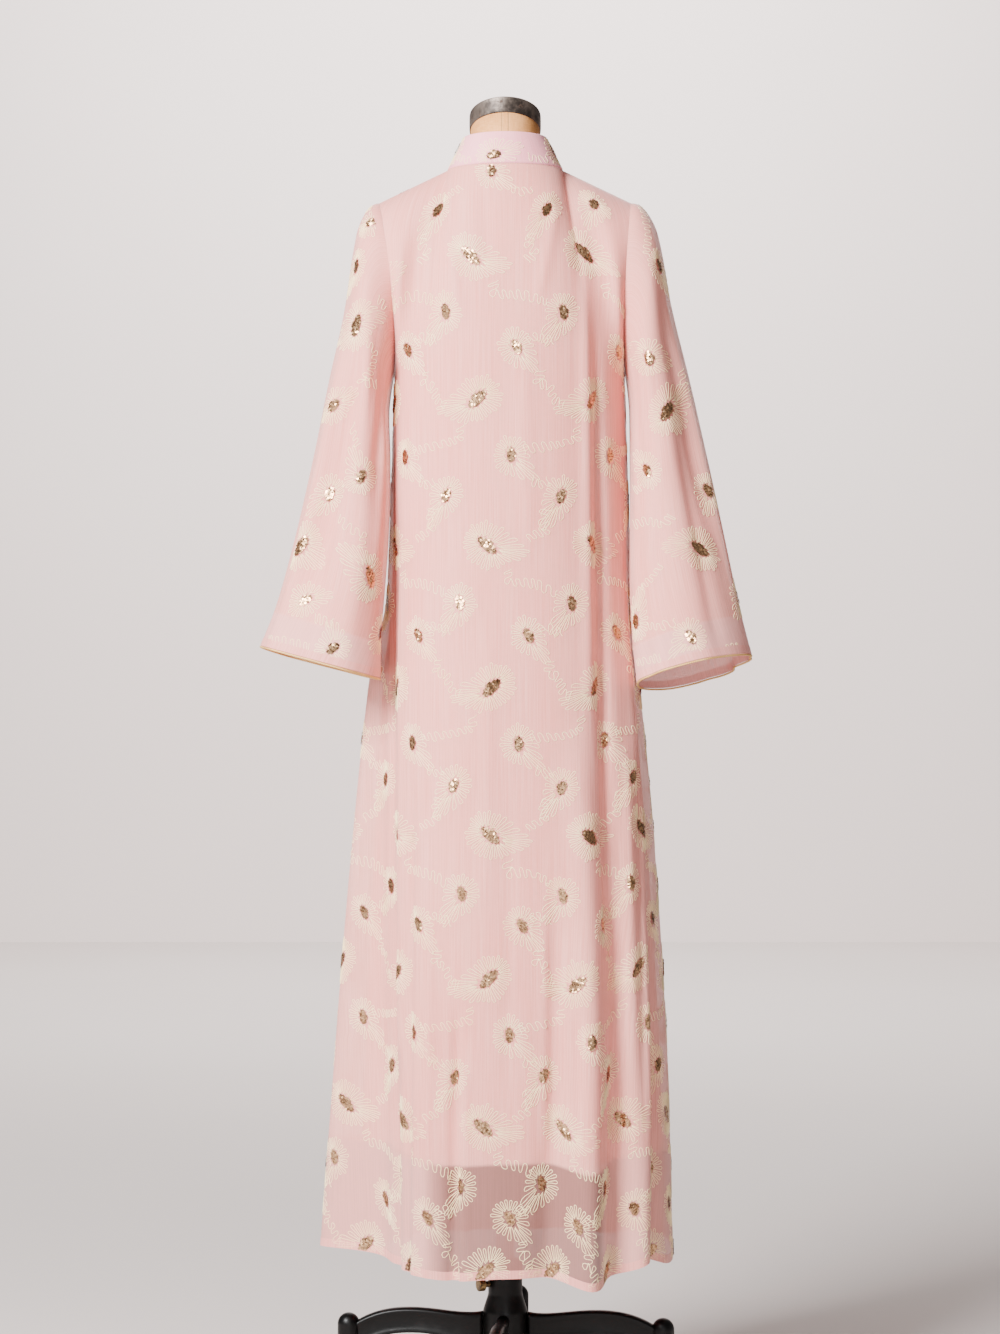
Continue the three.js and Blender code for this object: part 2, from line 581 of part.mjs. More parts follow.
// Piping round a cuff: a thin closed tube that hangs from the middle of the wall's lower edge
function addPiping(name, grid, facing) {
  const outerEdge = grid[grid.length - 1];
  const normals = gridNormals(grid, facing, true)[grid.length - 1];
  const above = grid[grid.length - 2];
  const count = outerEdge.length - 1;
  const points = [];
  const triangles = [];
  for (let c = 0; c < count; c += 1) {
    const down = outerEdge[c].clone().sub(above[c]).normalize();
    const centre = outerEdge[c].clone().addScaledVector(normals[c], -clothWall / 2)
      .addScaledVector(down, pipingRadius + seamGap);
    for (let s = 0; s < sides.piping; s += 1) {
      const turn = (s / sides.piping) * 2 * Math.PI;
      const after = (s + 1) % sides.piping;
      points.push(centre.clone().addScaledVector(normals[c], pipingRadius * Math.cos(turn))
        .addScaledVector(down, pipingRadius * Math.sin(turn)));
      const here = c * sides.piping;
      const next = ((c + 1) % count) * sides.piping;
      const [a, b, d, e] = [here + s, here + after, next + s, next + after];
      triangles.push(...(facing > 0 ? [a, e, b, a, d, e] : [a, b, e, a, e, d]));
    }
  }
  add(`cuff_piping_${name}`, geometryOf(points, triangles), 'goldCord');
}

function addCollar() {
  const { collarColumns: columns, collarRows: rows } = grids;
  const grid = Array.from({ length: rows + 1 }, (_, r) => {
    const up = 1 - r / rows;
    const gap = lerp(collarOpening.bottom, collarOpening.top, up);
    return Array.from({ length: columns + 1 }, (__, c) => {
      const bearing = lerp(90 + gap, 450 - gap, c / columns);
      return ringPoint(neck, bearing).lerp(ringPoint(collarTop, bearing), up);
    });
  });
  grid[rows] = grid[rows].map((point, c) => point.clone().add(
    grid[rows - 1][c].clone().sub(point).setLength(seamGap)));
  add('collar', wall(grid, facingOf.back, false, collarWall), 'collar');
}

// Height of the form's shoulder ridge, just below the lining
function ridgeHeight(x) {
  const slope = (neck.height - shoulder.height) / (shoulder.side - neck.side);
  const below = clothWall + seamGap + liningWall + 2 * seamGap;
  return neck.height - slope * (x - neck.side) - below * Math.hypot(1, slope);
}

function ovalRing(section, z, tilt = 0) {
  return Array.from({ length: sides.form }, (_, i) => {
    const turn = (i / sides.form) * 2 * Math.PI;
    const power = 2 / section.square;
    const s = signedPower(Math.sin(turn), power);
    const y = (s > 0 ? section.front : section.back) * s;
    return new THREE.Vector3(section.side * signedPower(Math.cos(turn), power), y, z - y * tilt);
  });
}

function addForm() {
  const rings = formSections.map((section) => ovalRing(section, section.z));
  for (let k = 0; k <= formShoulder.steps; k += 1) {
    const share = k / formShoulder.steps;
    const reach = lerp(formShoulder.outer, formShoulder.inner, share);
    const depth = lerp(formShoulder.outerDepth, formShoulder.innerDepth, share);
    const section = { side: reach, back: depth, front: depth, square: formShoulder.square };
    rings.push(ovalRing(section, ridgeHeight(reach)));
  }
  const slope = Math.tan(radians(formNeck.slant));
  const middle = formNeck.top;
  const neckSection = { ...formNeck, square: 2 };
  const under = neckCap.thickness / Math.cos(radians(formNeck.slant));
  rings.push(ovalRing({ ...neckSection, side: formNeck.side + 1 }, formNeck.foot));
  rings.push(ovalRing(neckSection, lerp(formNeck.foot, middle - under, 0.4), slope * 0.3));
  rings.push(ovalRing(neckSection, middle - under, slope));
  add('form', solidThrough(rings), 'linen');
  const { side, back, front } = formNeck;
  const grown = (by) => ({ side: side + by, back: back + by, front: front + by, square: 2 });
  const capBottom = middle - under + seamGap / Math.cos(radians(formNeck.slant));
  add('neck_cap', solidThrough([
    ovalRing(grown(neckCap.overhang), capBottom, slope),
    ovalRing(grown(neckCap.overhang), middle - neckCap.bevel, slope),
    ovalRing(grown(neckCap.overhang - neckCap.bevel), middle, slope),
  ]), 'wornZinc');
}

// A turned piece, from a list of radius and height
function turned(profile, count) {
  const geometry = new THREE.LatheGeometry(profile.map(([r, z]) => new THREE.Vector2(r, z)), count);
  return geometry.rotateX(Math.PI / 2);
}

function addStand() {
  const poleTop = formSections[0].z - seamGap;
  add('pole', turned([[0, pole.bottom], [pole.radius, pole.bottom], [pole.radius, poleTop], [0, poleTop]],
    sides.pole), 'steel');
  const bore = pole.radius + hub.clearance;
  add('hub', turned([
    [bore, hub.bottom], [hub.foot, hub.bottom], [hub.foot, hub.flareBottom], [hub.radius, hub.flareTop],
    [hub.radius, hub.top], [bore, hub.top], [bore, hub.bottom],
  ], sides.hub), 'blackIron');
  legNames.forEach((name, i) => addLeg(name, i * 90 + leg.turn));
  addThumbScrew();
}

// Reach and height on the barrel's round top, as shares of its radius
const domePoints = [[0.866, 0.5], [0.5, 0.866]];

// One leg: an arched arm with a barrel at its end, and a turned foot below
function addLeg(name, bearing) {
  const outline = new THREE.Shape();
  outline.moveTo(hub.foot + seamGap, legOutline.topStart);
  for (const curve of legOutline.top) outline.bezierCurveTo(...curve);
  outline.lineTo(leg.reach, legOutline.underStart);
  for (const curve of legOutline.under) outline.bezierCurveTo(...curve);
  outline.closePath();
  const arm = new THREE.ExtrudeGeometry(outline, { depth: leg.width, bevelEnabled: false, curveSegments: 6 });
  arm.translate(0, 0, -leg.width / 2).rotateX(Math.PI / 2);
  const r = leg.barrelRadius;
  const barrel = turned([
    [0, leg.barrelBottom], [r, leg.barrelBottom], [r, leg.barrelTop - r],
    ...domePoints.map(([out, up]) => [r * out, leg.barrelTop - r * (1 - up)]), [0, leg.barrelTop],
  ], sides.leg).translate(leg.reach, 0, 0);
  const joined = geometryFrom(manifoldOf(arm).add(manifoldOf(barrel)));
  add(`leg_${name}`, joined, 'blackIron').rotation.z = radians(bearing);
  const top = leg.barrelBottom - seamGap;
  const glide = turned([
    [0, 0], [foot.radius - foot.bevel, 0], [foot.radius, foot.bevel],
    [foot.radius, foot.padHeight - foot.shoulder], [foot.radius - foot.shoulder, foot.padHeight],
    [foot.neckRadius, foot.padHeight + foot.bevel], [foot.neckRadius, top], [0, top],
  ], sides.leg).translate(leg.reach, 0, 0);
  add(`foot_${name}`, glide, 'blackIron').rotation.z = radians(bearing);
}

// The screw that clamps the pole: it bears on the hub's outside, with its head clear of it
function addThumbScrew() {
  const start = hub.radius + seamGap;
  const headStart = start + thumbScrew.shankLength;
  const headEnd = headStart + thumbScrew.headLength;
  const { shankRadius, headRadius } = thumbScrew;
  const screw = turned([
    [0, start], [shankRadius, start], [shankRadius, headStart],
    [headRadius, headStart], [headRadius, headEnd], [0, headEnd],
  ], sides.thumbScrew).rotateY(Math.PI / 2).rotateZ(radians(thumbScrew.bearing));
  add('thumb_screw', screw.translate(0, 0, thumbScrew.height), 'brass');
}

addBody();
addBodyLining();
addSleeve('left', leftSleeve);
addSleeve('right', rightSleeve);
addCollar();
addForm();
addStand();

export default part;
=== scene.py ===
# A long kaftan with bell sleeves and a stand collar, worn by a limbless dress form on a cast stand.
# The tables are in millimetres, as in the part's source. Meshes are made in metres.
import math

import bpy
import numpy as np
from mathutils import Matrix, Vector


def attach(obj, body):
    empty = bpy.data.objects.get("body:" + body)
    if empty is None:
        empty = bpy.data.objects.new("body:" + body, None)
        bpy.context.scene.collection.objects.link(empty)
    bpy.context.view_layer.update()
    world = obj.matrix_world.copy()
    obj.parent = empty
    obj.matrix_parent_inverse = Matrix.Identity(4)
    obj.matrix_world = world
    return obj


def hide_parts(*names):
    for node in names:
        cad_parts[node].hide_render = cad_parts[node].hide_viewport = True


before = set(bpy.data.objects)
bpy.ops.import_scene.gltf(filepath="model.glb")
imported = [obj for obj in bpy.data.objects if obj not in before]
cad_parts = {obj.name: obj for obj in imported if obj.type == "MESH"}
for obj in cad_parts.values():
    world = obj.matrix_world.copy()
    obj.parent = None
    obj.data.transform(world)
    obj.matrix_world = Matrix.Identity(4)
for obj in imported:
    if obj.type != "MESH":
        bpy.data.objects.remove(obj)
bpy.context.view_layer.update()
MM = 0.001


def table(names, rows):
    """Rows of a table as dictionaries, by the names of its columns."""
    return [dict(zip(names.split(), row)) for row in rows]


# Thicknesses, gaps and edges
SHEER = 0.5
LINING = 0.6
COLLAR_WALL = 2.0
WALL_IN_SOURCE = 1.5
LINING_GAP = 0.3
EASE = {"yoke": 4.0, "skirt": 8.0, "seam_share": 1 / 9, "top_share": 1 / 8, "sleeve_share": 1 / 6}
LINING_FOLDS = 0.55
LINING_CREASES = 0.6
CORD = {
    "radius": 1.5, "samples": 420, "twists": 61,
    "strands": 3, "sides": 6, "strand_radius": 0.8, "strand_out": 0.75,
}
HEM_BAND = {"width": 11.0, "lift": 0.35}
LINING_BAND = {"width": 9.0, "lift": 0.3}
BAND_UNDERSIDE = 0.05
BAND_ROWS = 4
# A direction that no cuff runs along
ASKEW = (0.3, 0.2, 1.0)

# Neck seam, shoulder seams and underarm
NECK_DROP_POWER = 1.6
NECK = {"side": 78, "back": 66, "front": 70, "height": 1706, "drop": 38}
COLLAR_TOP = {"side": 56, "back": 58, "front": 62, "height": 1750, "drop": 38}
COLLAR_ROW = 4.0
COLLAR_RIM_STEPS = 8
COLLAR_OPENING = {"bottom": 3, "top": 5.5}
SHOULDER = {"side": 170, "height": 1662}
UNDERARM = 1430
SLIT = {"bottom": 1445, "half_width": 3, "seam_half_width": 0.15, "reach": 0.12}
SHOULDER_SHARE = 0.25
DRAPE = {
    "back": {"shoulder_fall": 0.24, "centre_fall": 0.87, "shoulder_reach": 100, "centre_reach": 75},
    "front": {"shoulder_fall": 0.3, "centre_fall": 0.93, "shoulder_reach": 100, "centre_reach": 70},
}
ARMHOLE = {"reach": 108, "rise": 0.75, "under_reach": 105, "tuck": 7, "edge_share": 0.2, "samples": 400}
DRAPE_CENTRE = {"start": 0.12, "share": 0.38}

# Plan of the body at each height
BODY_SECTIONS = table("z left right back front seam square", [
    (1430, 149, 161, 116, 122, 0, 2.25),
    (1261, 155, 167, 122, 128, 10, 2.3),
    (1126, 160, 172, 128, 134, 22, 2.35),
    (1000, 163, 184, 134, 142, 30, 2.45),
    (816, 163, 201, 141, 155, 34, 2.6),
    (640, 162, 213, 148, 168, 34, 2.8),
    (478, 160, 221, 154, 180, 34, 2.9),
    (230, 158, 227, 160, 198, 34, 3.0),
])

# Large folds of the skirt, by bearing round the pole: 0 right, 90 front, 180 left, 270 back
SKIRT_FOLDS = table("top from to spread depth", [
    (1170, 180, 180, 7.5, 94),
    (1425, 318, 299, 5.5, -16),
    (1350, 340, 313, 6, 14),
    (900, 330, 325, 5, -11),
    (1000, 296, 289, 6.5, 27),
    (780, 282, 277, 4, -17),
    (620, 256, 253, 5, -9),
    (900, 236, 231, 6, 8),
    (1300, 206, 207, 6, -12),
    (1250, 40, 44, 7, 20),
    (1150, 62, 60, 5, -18),
    (1000, 80, 77, 6, 16),
    (950, 104, 103, 5, -16),
    (1100, 124, 121, 6, 18),
    (1250, 150, 148, 6, -14),
])
FOLD_GROWTH = {"power": 0.8, "start": 1 / 6}
# Degrees to each side of a point, between which the skirt's direction there is taken
BEARING_STEP = 0.25
HEM_HEIGHT = 242
HEM_SWINGS = table("bearing spread rise", [
    (290, 9, -15),
    (252, 16, -6),
    (184, 10, 10),
    (320, 12, 15),
    (20, 20, 8),
])
# Points on a line of the skirt and on a curve before they are spread evenly
SKIRT_SAMPLES = 361
CURVE_SAMPLES = 201
# A point this near to a seam counts as on it
SEAM_REACH = 1

# Smaller creases of the back and the fronts: x and height at each end, then width and depth outward
BACK_CREASES = table("x z width depth", [
    ((-150, -152), (1400, 700), 7, -5),
    ((-138, -139), (1300, 420), 6.5, 4.5),
    ((-124, -128), (980, 330), 8, -4.5),
    ((-98, -102), (760, 240), 9.5, 4.5),
    ((-62, -66), (620, 330), 5.5, -6),
    ((-52, -55), (560, 250), 6.5, 4),
    ((-20, -26), (1120, 700), 9.5, 2),
    ((8, 2), (900, 480), 8, -2),
    ((52, 50), (760, 420), 6.5, 4),
    ((91, 94), (600, 470), 5.5, -5),
    ((104, 110), (1620, 1000), 8, 5),
    ((121, 131), (1530, 700), 6.5, -9),
    ((140, 150), (760, 400), 7, -6),
    ((160, 168), (960, 500), 6.5, 5),
    ((176, 186), (1090, 380), 6.5, -6),
    ((-86, -60), (1640, 1500), 9.5, 3),
    ((70, 44), (1650, 1520), 9, 2.5),
    ((-30, -24), (1690, 1560), 11, -2),
    ((24, 30), (1500, 1200), 13, 2),
])
FRONT_CREASES = table("x z width depth", [
    ((-140, -146), (1390, 640), 7, -5),
    ((-122, -128), (1260, 380), 6.5, 4.5),
    ((-88, -96), (1010, 300), 8, -4.5),
    ((-60, -70), (1300, 760), 9.5, 3),
    ((-34, -40), (800, 250), 7, 4.5),
    ((18, 26), (760, 330), 7, -4.5),
    ((48, 60), (1180, 500), 9, 4),
    ((84, 98), (960, 300), 7, -5),
    ((120, 134), (1340, 620), 7, 4.5),
    ((142, 160), (1080, 360), 6.5, -5),
    ((-96, -66), (1600, 1440), 9.5, 4),
    ((92, 62), (1610, 1450), 9.5, 3.5),
])
CREASE_FADE = {"share": 0.3, "end": 1.12, "near_hem": 100, "edge": 0.04, "rows": 6}

# Sleeves, along each from the armhole to the cuff
LEFT_SLEEVE = {
    "side": -1,
    "rows": table("at out_x out_z in_x in_z depth back", [
        (0, 170, 1662, 149, 1430, 71, 0),
        (0.08, 190, 1655, 153, 1411, 74, 4),
        (0.18, 203, 1604, 156, 1376, 73, 12),
        (0.32, 217, 1512, 154, 1318, 67, 26),
        (0.46, 237, 1420, 154, 1260, 62, 36),
        (0.6, 256, 1325, 156, 1200, 60, 46),
        (0.74, 281, 1214, 160, 1142, 63, 54),
        (0.88, 306, 1122, 165, 1078, 69, 58),
        (1, 328, 1065, 166, 1022, 76, 60),
    ]),
    "folds": table("around spread depth start end", [
        (0.36, 0.05, -15, 0.04, 0.62),
        (0.2, 0.035, -11, 0.22, 0.96),
        (0.11, 0.04, 6, 0.3, 1.3),
        (0.3, 0.05, 7, 0.45, 1.4),
        (0.7, 0.06, -12, 0.2, 1.3),
        (0.84, 0.05, 9, 0.35, 1.3),
    ]),
    "creases": table("around spread depth start end", [
        ((0.3, 0.27), 0.022, -4.2, 0.05, 0.5),
        ((0.15, 0.16), 0.02, -4.2, 0.3, 1.0),
        ((0.42, 0.36), 0.025, 4.2, 0.1, 0.8),
        ((0.24, 0.25), 0.02, 3.5, 0.45, 1.3),
        ((0.06, 0.07), 0.022, -4.2, 0.5, 1.3),
        ((0.62, 0.65), 0.025, 4.2, 0.1, 0.9),
        ((0.77, 0.78), 0.02, -4.2, 0.25, 1.3),
        ((0.9, 0.92), 0.025, 3.5, 0.15, 1.0),
    ]),
    "back_rise": 1,
    "front_rise": -4,
}
RIGHT_SLEEVE = {
    "side": 1,
    "rows": table("at out_x out_z in_x in_z depth back", [
        (0, 170, 1662, 161, 1430, 71, 0),
        (0.08, 193, 1656, 165, 1411, 74, 4),
        (0.18, 209, 1604, 167, 1376, 73, 13),
        (0.32, 224, 1520, 167, 1318, 67, 28),
        (0.46, 247, 1425, 167, 1260, 62, 39),
        (0.6, 269, 1330, 166, 1198, 60, 50),
        (0.74, 294, 1220, 166, 1138, 64, 58),
        (0.88, 316, 1115, 169, 1072, 70, 66),
        (1, 332, 1049, 175, 1016, 77, 72),
    ]),
    "folds": table("around spread depth start end", [
        (0.37, 0.05, -13, 0.04, 0.6),
        (0.14, 0.04, -9, 0.12, 0.8),
        (0.24, 0.05, 7, 0.3, 1.4),
        (0.4, 0.04, -7, 0.4, 1.2),
        (0.93, 0.045, -20, 0.55, 1.5),
        (0.72, 0.06, 8, 0.3, 1.3),
    ]),
    "creases": table("around spread depth start end", [
        ((0.31, 0.3), 0.022, -4.2, 0.05, 0.55),
        ((0.19, 0.2), 0.02, -3.5, 0.35, 1.1),
        ((0.43, 0.4), 0.02, 4.2, 0.1, 0.7),
        ((0.08, 0.09), 0.02, 4.2, 0.3, 1.0),
        ((0.02, 0.02), 0.02, -4.2, 0.5, 1.3),
        ((0.6, 0.64), 0.025, 4.2, 0.1, 0.9),
        ((0.8, 0.79), 0.02, -4.2, 0.25, 1.3),
        ((0.88, 0.86), 0.025, 3.5, 0.15, 0.9),
    ]),
    "back_rise": 13,
    "front_rise": -17,
}
SLEEVE_FORM = {"square": 0.88, "outer_back": 0.4, "blend": 0.16, "rise_from": 0.7, "fold_fade": 0.25}
SLEEVE_SAMPLES = 240
SLEEVE_LENGTH = 640
LINING_ABOVE_HEM = 148
LINING_ABOVE_CUFF = 62

# Turned pieces: the ring that stands for their axis, and how far a rounded corner stays from the next
AXIS_RADIUS = 0.01
CORNER_DIVISOR = 2.2

# How many faces each panel has across and down
FINE = {
    "body": 120, "yoke": 36, "skirt": 130, "sleeve_around": 96, "sleeve_down": 110,
    "collar": 112, "collar_rows": 12,
}
COARSE = {"body": 72, "yoke": 14, "skirt": 44, "sleeve_around": 48, "sleeve_down": 40}

# Dress form
FORM_SECTIONS = table("z side back front square", [
    (1090, 126, 96, 102, 2.1),
    (1135, 131, 102, 108, 2.1),
    (1200, 130, 100, 106, 2.1),
    (1270, 121, 92, 100, 2.1),
    (1335, 113, 86, 94, 2.1),
    (1400, 124, 94, 103, 2.1),
    (1460, 134, 98, 104, 2.1),
    (1520, 139, 94, 96, 2.1),
    (1575, 144, 84, 80, 2.0),
    (1625, 150, 64, 60, 1.8),
])
FORM_SHOULDER = {"inner": 100, "outer": 158, "steps": 4, "inner_depth": 24, "outer_depth": 30, "square": 1.1}
FORM_BELOW_CLOTH = 3.4
FORM_NECK = {
    "side": 46.8, "back": 51, "front": 51, "foot": 1698, "top": 1779.5, "slant": 18.5,
    "foot_spread": 1, "middle_share": 0.4, "middle_slant": 0.3,
}
NECK_CAP = {"thickness": 19.6, "overhang": 1.6, "bevel": 1.5, "inset": 4, "gap": 0.3}

# Stand
POLE = {"radius": 12, "bottom": 50, "top": 1089.7, "edge": 1.2}
HUB = {
    "radius": 23, "foot": 30, "bore": 12.4, "edge": 3,
    "top": 236, "flare_top": 190, "flare_bottom": 168, "bottom": 92,
}
LEG = {
    "reach": 213, "width": 17, "crown": 1.01, "turn": -5,
    "barrel": 15, "top": 161, "bottom": 46, "edge": 1.5, "dome_from": 0.15, "dome_steps": 9,
}
FOOT = {"radius": 19, "neck": 9, "top": 45.7, "pad": 20, "bevel": 3, "shoulder": 5, "edge": 2}
THUMB_SCREW = {
    "height": 205, "bearing": 205, "shank": 4.2, "shank_length": 8, "gap": 0.3,
    "head": 8.5, "head_length": 9, "edge": 1.2, "ribs": 20, "rib_depth": 0.03, "ribs_from": 1,
}
SIDES = {"pole": 48, "hub": 64, "barrel": 40, "foot": 40, "screw": 64, "leg_steps": 18}

# Embroidery: one repeat of the cloth, across and down from its first large flower
REPEAT = {"across": 154.0, "down": 379.5}
FLOWER_FORM = {
    "inner_gap": (1.8, 2.2), "short_start": 0.16, "uneven": 0.09, "tail_spread": 0.55, "tail_at_start": 0.15,
    "outside": 45,
}
LARGE = {"long": 30, "wide": 13, "ring_long": 34, "ring_wide": 29, "loops": 28}
SMALL = {"long": 20, "wide": 11, "ring_long": 26, "ring_wide": 23, "loops": 20}
FLOWERS = table("kind s t lean tail", [
    (LARGE, 0, 0, 42, (24, 4)),
    (SMALL, -37, 75, 80, (-15, 22)),
    (SMALL, 55, 119, 62, (12, 14)),
    (LARGE, 3, 187, -44, (-24, 6)),
    (SMALL, 41, 261, 88, (19, 17)),
    (SMALL, -48, 313, -66, (-14, 24)),
])
VINES = [
    [(86, 329), (79, 342), (83, 359), (68, 365), (55, 372)],
    [(28, 32), (29, 50), (44, 49), (70, 51), (98, 62)],
    [(103, 110), (92, 109), (81, 105), (68, 112)],
    [(86, 148), (81, 167), (95, 168), (103, 189), (116, 196)],
    [(-23, 222), (-22, 239), (-50, 246), (-78, 251), (-98, 254)],
    [(66, 293), (76, 300), (92, 294)],
]
# The folds take up cloth, so the columns of the repeat hang closer together further down the back
BACK_HANG = table("t before first step beyond", [
    (138, 154, -46, 159, 154),
    (328, 156, -40, 159, 154),
    (517, 160, -24, 147, 150),
    (707, 153, -21, 146, 140),
    (897, 154, -20, 133, 110),
    (1086, 148, -24, 120, 117),
    (1276, 138, -29, 110, 115),
    (1440, 127, -29, 92, 108),
])
VINE_WAVE = {
    "height": 6.3, "pitch": 10.5, "sway": 0.62, "slant": 0.3,
    "widths": (0.65, 1.35), "heights": (0.65, 1.2), "points_each": 12, "samples": 60, "smoothing": 6,
}
THREAD = {"width": 0.85, "edge": 0.1, "crown": 0.6}
# One loop of thread: how far round, in loops, and how far out
PETAL = [
    (-0.5, -0.05), (-0.18, 0.0), (-0.2, 0.35), (-0.27, 0.75), (-0.2, 0.94),
    (0.0, 1.0), (0.2, 0.94), (0.27, 0.75), (0.2, 0.35), (0.18, 0.0),
]
SEQUIN = {
    "radius": 1.75, "pitch": 2.3, "lift": 0.9, "lift_spread": 0.35, "lowest": 0.1, "sides": 6,
    "leaf_tilt": 0.12, "own_tilt": 0.14, "end_inset": 0.6, "side_room": 0.8, "overlap": 0.8,
}
# Added to the end of a range, so that a place on its end counts
RANGE_END = 0.1
SEED = 7
EDGE_MARGIN = {"thread": 1.0, "sequin": 2.0}


def srgb(red, green, blue):
    """A colour given from 0 to 255, as it looks on a screen."""
    parts = [c / 255 for c in (red, green, blue)]
    linear = [c / 12.92 if c <= 0.04045 else ((c + 0.055) / 1.055) ** 2.4 for c in parts]
    return (*linear, 1.0)


def smooth(x):
    x = np.clip(x, 0, 1)
    return x * x * (3 - 2 * x)


def bell(x):
    return np.exp(-x * x)


def lerp(a, b, share):
    return a + (b - a) * share


def signed_power(x, power):
    return np.sign(x) * np.abs(x) ** power


def unit(vectors):
    return vectors / np.maximum(np.linalg.norm(vectors, axis=-1, keepdims=True), 1e-9)


def between(rows, key, column, at):
    """A smooth value of one column of a table, between the rows on each side."""
    order = sorted(rows, key=lambda row: row[key])
    keys = np.array([row[key] for row in order], float)
    values = np.array([row[column] for row in order], float)
    before = np.maximum(np.arange(len(keys)) - 1, 0)
    after = np.minimum(np.arange(len(keys)) + 1, len(keys) - 1)
    slopes = (values[after] - values[before]) / (keys[after] - keys[before])
    at = np.asarray(at, float)
    i = np.clip(np.searchsorted(keys, at) - 1, 0, len(keys) - 2)
    span = keys[i + 1] - keys[i]
    t = np.clip((at - keys[i]) / span, 0, 1)
    t2 = t * t
    t3 = t2 * t
    start = (2 * t3 - 3 * t2 + 1) * values[i] + (t3 - 2 * t2 + t) * span * slopes[i]
    return start + (3 * t2 - 2 * t3) * values[i + 1] + (t3 - t2) * span * slopes[i + 1]


def row_at(rows, key, at):
    """Every column of a table, smoothly between its rows."""
    return {name: between(rows, key, name, at) for name in rows[0] if name != key}


def bezier(t, a, b, c, d):
    """Points of a curve from a to d, drawn towards b and c between them."""
    return (1 - t) ** 3 * a + 3 * (1 - t) ** 2 * t * b + 3 * (1 - t) * t * t * c + t ** 3 * d


def lengths(line):
    """How far each point of a line lies from its first, along it."""
    return np.concatenate([[0], np.cumsum(np.linalg.norm(np.diff(line, axis=0), axis=1))])


def points_at(at, along, line):
    """Points between those of a line, whose own places are along."""
    return np.stack([np.interp(at, along, column) for column in line.T], axis=-1)


def spread(line, count):
    """Points spread evenly along a line of points."""
    along = lengths(line)
    return points_at(np.linspace(0, along[-1], count + 1), along, line)


def plan_point(bearing, z):
    bearing, z = np.broadcast_arrays(np.asarray(bearing, float), np.asarray(z, float))
    c = np.cos(np.radians(bearing))
    s = np.sin(np.radians(bearing))
    value = row_at(BODY_SECTIONS, "z", z)
    power = 2 / value["square"]
    x = np.where(c > 0, value["right"], value["left"]) * signed_power(c, power)
    depth = np.where(s > 0, value["front"] - value["seam"], value["back"] + value["seam"])
    return np.stack([x, value["seam"] + depth * signed_power(s, power), z], axis=-1)


def skirt_point(bearing, share, fold_share):
    """Points of the skirt: share is 0 at the underarm and 1 at the hem."""
    hem = HEM_HEIGHT + sum(w["rise"] * bell((bearing - w["bearing"]) / w["spread"]) for w in HEM_SWINGS)
    z = lerp(UNDERARM, hem, share)
    along = plan_point(bearing + BEARING_STEP, z) - plan_point(bearing - BEARING_STEP, z)
    outward = unit(np.stack([along[..., 1], -along[..., 0], np.zeros_like(z)], axis=-1))
    push = np.zeros_like(z)
    for fold in SKIRT_FOLDS:
        down = np.clip((fold["top"] - z) / (fold["top"] - HEM_HEIGHT), 0, 1)
        centre = lerp(fold["from"], fold["to"], down)
        growth = down ** FOLD_GROWTH["power"] * smooth(down / FOLD_GROWTH["start"])
        push += fold["depth"] * growth * bell((bearing - centre) / fold["spread"])
    return plan_point(bearing, z) + outward * (push * fold_share)[..., None]


def skirt_rows(panel, shares, columns, fold_share):
    start, end = (180, 360) if panel == "back" else (180, 0)
    bearings = np.linspace(start, end, SKIRT_SAMPLES)[None, :]
    lines = skirt_point(bearings, np.asarray(shares)[:, None], fold_share)
    return np.stack([spread(line, columns) for line in lines])


def ring_point(ring, bearing):
    """Points of the neck seam or the collar's top edge, which dip towards the front."""
    c = np.cos(np.radians(bearing))
    s = np.sin(np.radians(bearing))
    y = np.where(s > 0, ring["front"], ring["back"]) * s
    drop = ring["drop"] * np.where(s > 0, s, 0) ** NECK_DROP_POWER
    return np.stack([ring["side"] * c, y, ring["height"] - drop], -1)


def top_point(panel, u):
    """A panel's top edge, from its left shoulder at 0 along the neck to its right one at 1."""
    from_edge = min(u, 1 - u) / SHOULDER_SHARE
    if from_edge < 1:
        side = -1 if u < 0.5 else 1
        x = lerp(SHOULDER["side"], NECK["side"], from_edge)
        return np.array([side * x, 0, lerp(SHOULDER["height"], NECK["height"], from_edge)])
    turn = (u - SHOULDER_SHARE) / (1 - 2 * SHOULDER_SHARE)
    return ring_point(NECK, lerp(180, 360 if panel == "back" else 0, turn))


def yoke_curve(panel, u, bottom):
    """The line down a panel from its top edge to a point at the underarm level."""
    facing = -1 if panel == "back" else 1
    form = DRAPE[panel]
    from_edge = min(u, 1 - u)
    to_centre = smooth((from_edge - DRAPE_CENTRE["start"]) / DRAPE_CENTRE["share"])
    to_inside = smooth(from_edge / ARMHOLE["edge_share"])
    fall = lerp(form["shoulder_fall"], form["centre_fall"], to_centre)
    leave = np.array([0, facing * math.sqrt(1 - fall * fall), -fall])
    arrive = unit(lerp(np.array([0, facing, ARMHOLE["rise"]]), np.array([0, 0, 1.0]), to_inside))
    tuck = (1 - to_inside) * ARMHOLE["tuck"] * (1 if u < 0.5 else -1)
    top = top_point(panel, u)
    upper = top + leave * lerp(form["shoulder_reach"], form["centre_reach"], to_centre)
    lower = bottom + arrive * lerp(ARMHOLE["reach"], ARMHOLE["under_reach"], to_inside)
    upper[0] += tuck
    lower[0] += tuck
    return bezier(np.linspace(0, 1, CURVE_SAMPLES)[:, None], top, upper, lower, bottom)


